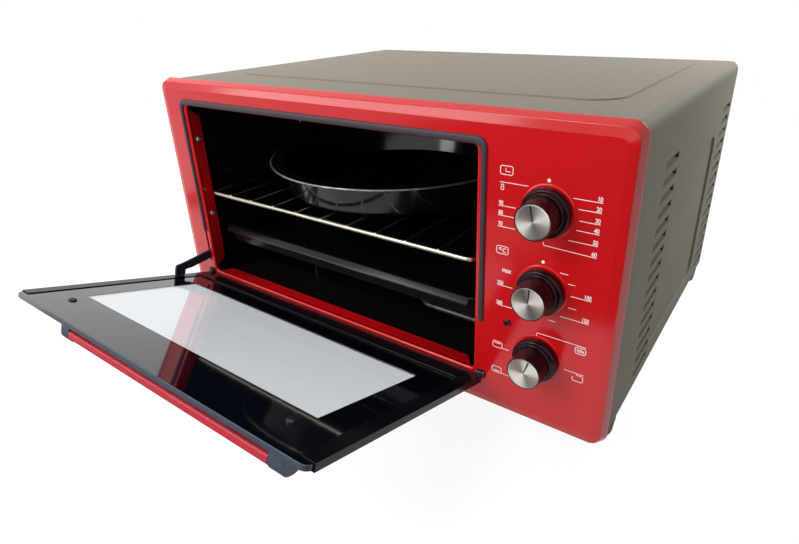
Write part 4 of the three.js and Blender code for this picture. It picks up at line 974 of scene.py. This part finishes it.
end, left, back = 159.5, -190.0, 292.0
lower_tube = [(end, 56.0), (59.0, 56.0), (41.0, 70.0), (left, 70.0), (left, back), (end, back)]
upper_tube = [(end, 70.0), (left, 70.0), (left, back), (end, back)]
piece("lower_heating_tube", heating_tube(lower_tube, [0, 10, 10, 10, 10, 0], 8, 46.0), oxide_steel, "oven",
      ["lower_heater"], 60.0)
piece("upper_heating_tube", heating_tube(upper_tube, [0, 34, 34, 0], 12, 222.5), oxide_steel, "oven",
      ["upper_heater"], 60.0)


# Door

def door_slab(outer, hole, y0, y1):
    """A flat frame with a rectangular hole, both outlines with equally many points: outer face, inner face
    and the two rims."""
    rings = [(outer, y0), (outer, y1), (hole, y1), (hole, y0), (outer, y0)]
    return [loft([in_plane(ring, "xz", y) for ring, y in rings])]


WINDOW_CORNER, PANE_LAP, PANE_SUNK = 0.8, 1.5, 0.02
window_outline = box_around(WINDOW, 0.0, WINDOW_CORNER)
body_outline = round_box(-GLASS_HALF, GLASS_HALF, GLASS_BOTTOM, GLASS_TOP - 0.5, GLASS_CORNER)
piece("printed_glass_border", door_slab(body_outline, window_outline, GLASS_FRONT, GLASS_BACK), ceramic_print,
      "door", ["door_glass"], 30.0, door=True)
pane = [in_plane(box_around(WINDOW, PANE_LAP, WINDOW_CORNER), "xz", y)
        for y in (GLASS_FRONT + PANE_SUNK, GLASS_BACK - PANE_SUNK)]
piece("glass_window", [capped(pane)], clear_glass, "door", (), 30.0, door=True)


def make_glass_edge():
    """The ground upper edge of the pane: a flat ribbon with eased edges, round both corners and a little way
    down the sides."""
    ease, sunk, foot = 0.6, 0.05, 190.0
    section = [(ease, GLASS_FRONT + sunk), (0, GLASS_FRONT + ease),
               (0, GLASS_BACK - ease), (ease, GLASS_BACK - sunk)]
    rows = []
    for inset, depth in section:
        half, top = GLASS_HALF - inset, GLASS_TOP - inset
        path = arc_path([(-half, foot), (-half, top), (half, top), (half, foot)], GLASS_CORNER - inset, 8)
        rows.append(in_plane(path, "xz", depth))
    return [strip(rows)]


piece("ground_glass_edge", make_glass_edge(), glass_edge, "door", (), 40.0, door=True)

eased("door_trim_left", "left_side_trim", black_abs, "door", 0.3)
eased("door_trim_right", "right_side_trim", black_abs, "door", 0.3)
eased("door_bottom_rail", "bottom_rail_trim", black_abs, "door", 0.5)
eased("handle_bracket_left", "left_handle_bracket", slate_nylon, "door", 2.0, 5, 3.0)
eased("handle_bracket_right", "right_handle_bracket", slate_nylon, "door", 2.0, 5, 3.0)
eased("door_stay_arm", "stay_arm_plate", blued_steel, "door", 0.4, 2, 3.0)
eased("hinge_bracket_left", "left_hinge_plate", blued_steel, "oven", 0.3)
eased("hinge_bracket_right", "right_hinge_plate", blued_steel, "oven", 0.3)


def make_handle():
    """A flat bar with well-rounded edges."""
    back, thick = GLASS_FRONT - 21.5, 8.0
    section = round_box(back - thick, back, 172.8, 190.8, 2.2)
    return [capped([in_plane(section, "yz", x) for x in (-136.7, 136.7)])]


piece("handle_bar_painted", make_handle(), red_epoxy, "door", ["handle_bar"], 50.0, door=True)
for side, x in (("left", -147.4), ("right", 147.4)):
    head = make_screw((x, GLASS_BACK + SEAT_GAP, 183.8), "y", 1, 3.6, 2.0)
    piece(f"handle_screw_{side}_head", head, black_screw, "door", [f"handle_screw_{side}"], 30.0,
          door=True, outward=False)
# rivet of the stay arm, on the side away from the door
rivet = arc_path([(2.6, -1.3), (2.6, -2.0), (0, -2.3)], [0, 0.5, 0], 5)
piece("stay_arm_rivet", [spun(rivet, "x", (-190.5, 6.8, 42.3), 24)], nickel, "door", (), 50.0,
      door=True, outward=False)


# Floor, light and camera

def seen_rays(tree):
    """One for rays from the eye, from a shine or through glass, nought for the rest."""
    rays = add(tree, "LightPath").outputs
    shine = add(tree, "Math", {"operation": "MAXIMUM"}, rays["Is Camera Ray"], rays["Is Glossy Ray"])
    both = add(tree, "Math", {"operation": "MAXIMUM"}, shine.outputs["Value"], rays["Is Transmission Ray"])
    return both.outputs["Value"]


def sheet_on_floor(name, x, y, level, colour):
    """A flat matt rectangle at a level, spanning two pairs of millimetres."""
    mesh = bpy.data.meshes.new(name)
    corners = [(x[0], y[0]), (x[1], y[0]), (x[1], y[1]), (x[0], y[1])]
    mesh.from_pydata([(a * MM, b * MM, level) for a, b in corners], [], [(0, 1, 2, 3)])
    sheet = bpy.data.objects.new(name, mesh)
    bpy.context.scene.collection.objects.link(sheet)
    mesh.materials.append(finish(f"{name}_card", colour, 0.9))
    return sheet


def make_floor():
    """A pale sheet under the oven that reads as white to the eye and to reflections, and keeps the shadow."""
    under, whiteness = 0.2 * MM, 0.87
    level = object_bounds()[0][2] - under
    floor = sheet_on_floor("pale_floor", (-1500.0, 1500.0), (-900.0, 1600.0), level, "#787878")
    tree = floor.data.materials[0].node_tree
    shader = tree.nodes["Principled BSDF"]
    shader.inputs["Emission Color"].default_value = linear("#FFFFFF")
    glow = add(tree, "Math", {"operation": "MULTIPLY"}, seen_rays(tree), whiteness)
    tree.links.new(glow.outputs["Value"], shader.inputs["Emission Strength"])
    # the dark end of the room before the oven, met only by the shine of its front
    dark = sheet_on_floor("dark_room_end", (-650.0, 2500.0), (-3200.0, -300.0), level + MM, "#26262A")
    dark.visible_camera = dark.visible_diffuse = dark.visible_transmission = dark.visible_shadow = False


make_floor()


def make_world():
    """White to the eye, in reflections and through glass, a softer grey as light."""
    world = bpy.data.worlds.new("studio")
    bpy.context.scene.world = world
    world.use_nodes = True
    tree = world.node_tree
    light = tree.nodes["Background"]
    light.inputs["Color"].default_value = linear("#FFFFFF")
    strength = add(tree, "MapRange", {"To Min": 0.22, "To Max": 1.0}, seen_rays(tree))
    tree.links.new(strength.outputs["Result"], light.inputs["Strength"])


make_world()


def make_lamp(name, place, target, size, power):
    """A soft lamp that faces a target, both places in the fascia's millimetres and its size as width and
    height."""
    lamp = bpy.data.lights.new(name, "AREA")
    lamp.shape = "RECTANGLE"
    lamp.size, lamp.size_y = size[0] * MM, size[1] * MM
    lamp.energy = power
    made = bpy.data.objects.new(name, lamp)
    bpy.context.scene.collection.objects.link(made)
    start, end = Vector(placed(place)), Vector(placed(target))
    made.location = start
    made.rotation_euler = (end - start).to_track_quat("-Z", "Y").to_euler()
    return made


make_lamp("key_lamp", (-600.0, -1300.0, 1300.0), (-50.0, 100.0, 100.0), (900.0, 900.0), 17.5)
top = make_lamp("top_lamp", (-700.0, 300.0, 950.0), (-50.0, 200.0, 250.0), (1000.0, 1000.0), 13.0)
make_lamp("side_lamp", (480.0, 640.0, 560.0), (262.0, 380.0, 230.0), (260.0, 260.0), 3.4)
fill = make_lamp("fill_lamp", (300.0, -1150.0, 350.0), (-80.0, 0.0, 130.0), (600.0, 400.0), 5.0)
# the enamel mirrors the room and not these two lamps
fill.visible_glossy = top.visible_glossy = False
make_lamp("low_window_lamp", (-1000.0, -1250.0, 540.0), (0.0, 0.0, 258.0), (1100.0, 420.0), 6.0)

# Camera: place, turn and focal length as fitted to the photograph's frame of 799 by 544 pixels
FRAME_WIDTH, FRAME_HEIGHT, SENSOR = 799, 544, 36.0
FOCAL_PIXELS = 553.907
MIDDLE_PIXEL = (416.572, 245.674)
CAMERA_PLACE = (346.07, -356.77, 336.94)
CAMERA_TURN = (1.92544, 0.593416, -0.421463)
camera_data = bpy.data.cameras.new("camera")
camera_data.sensor_width = SENSOR
camera_data.lens = FOCAL_PIXELS * SENSOR / FRAME_WIDTH
camera_data.shift_x = (FRAME_WIDTH / 2 - MIDDLE_PIXEL[0]) / FRAME_WIDTH
camera_data.shift_y = (MIDDLE_PIXEL[1] - FRAME_HEIGHT / 2) / FRAME_WIDTH
camera_data.clip_start = 0.01
camera = bpy.data.objects.new("camera", camera_data)
bpy.context.scene.collection.objects.link(camera)
spin = Vector(CAMERA_TURN)
to_camera = Matrix.Rotation(spin.length, 3, spin.normalized())
flip = Matrix(((1, 0, 0), (0, -1, 0), (0, 0, -1)))
turn = (flip @ to_camera).transposed().to_4x4()
camera.matrix_world = Matrix.Translation(Vector(placed(CAMERA_PLACE))) @ turn
bpy.context.scene.camera = camera
bpy.context.scene.view_settings.view_transform = "Standard"
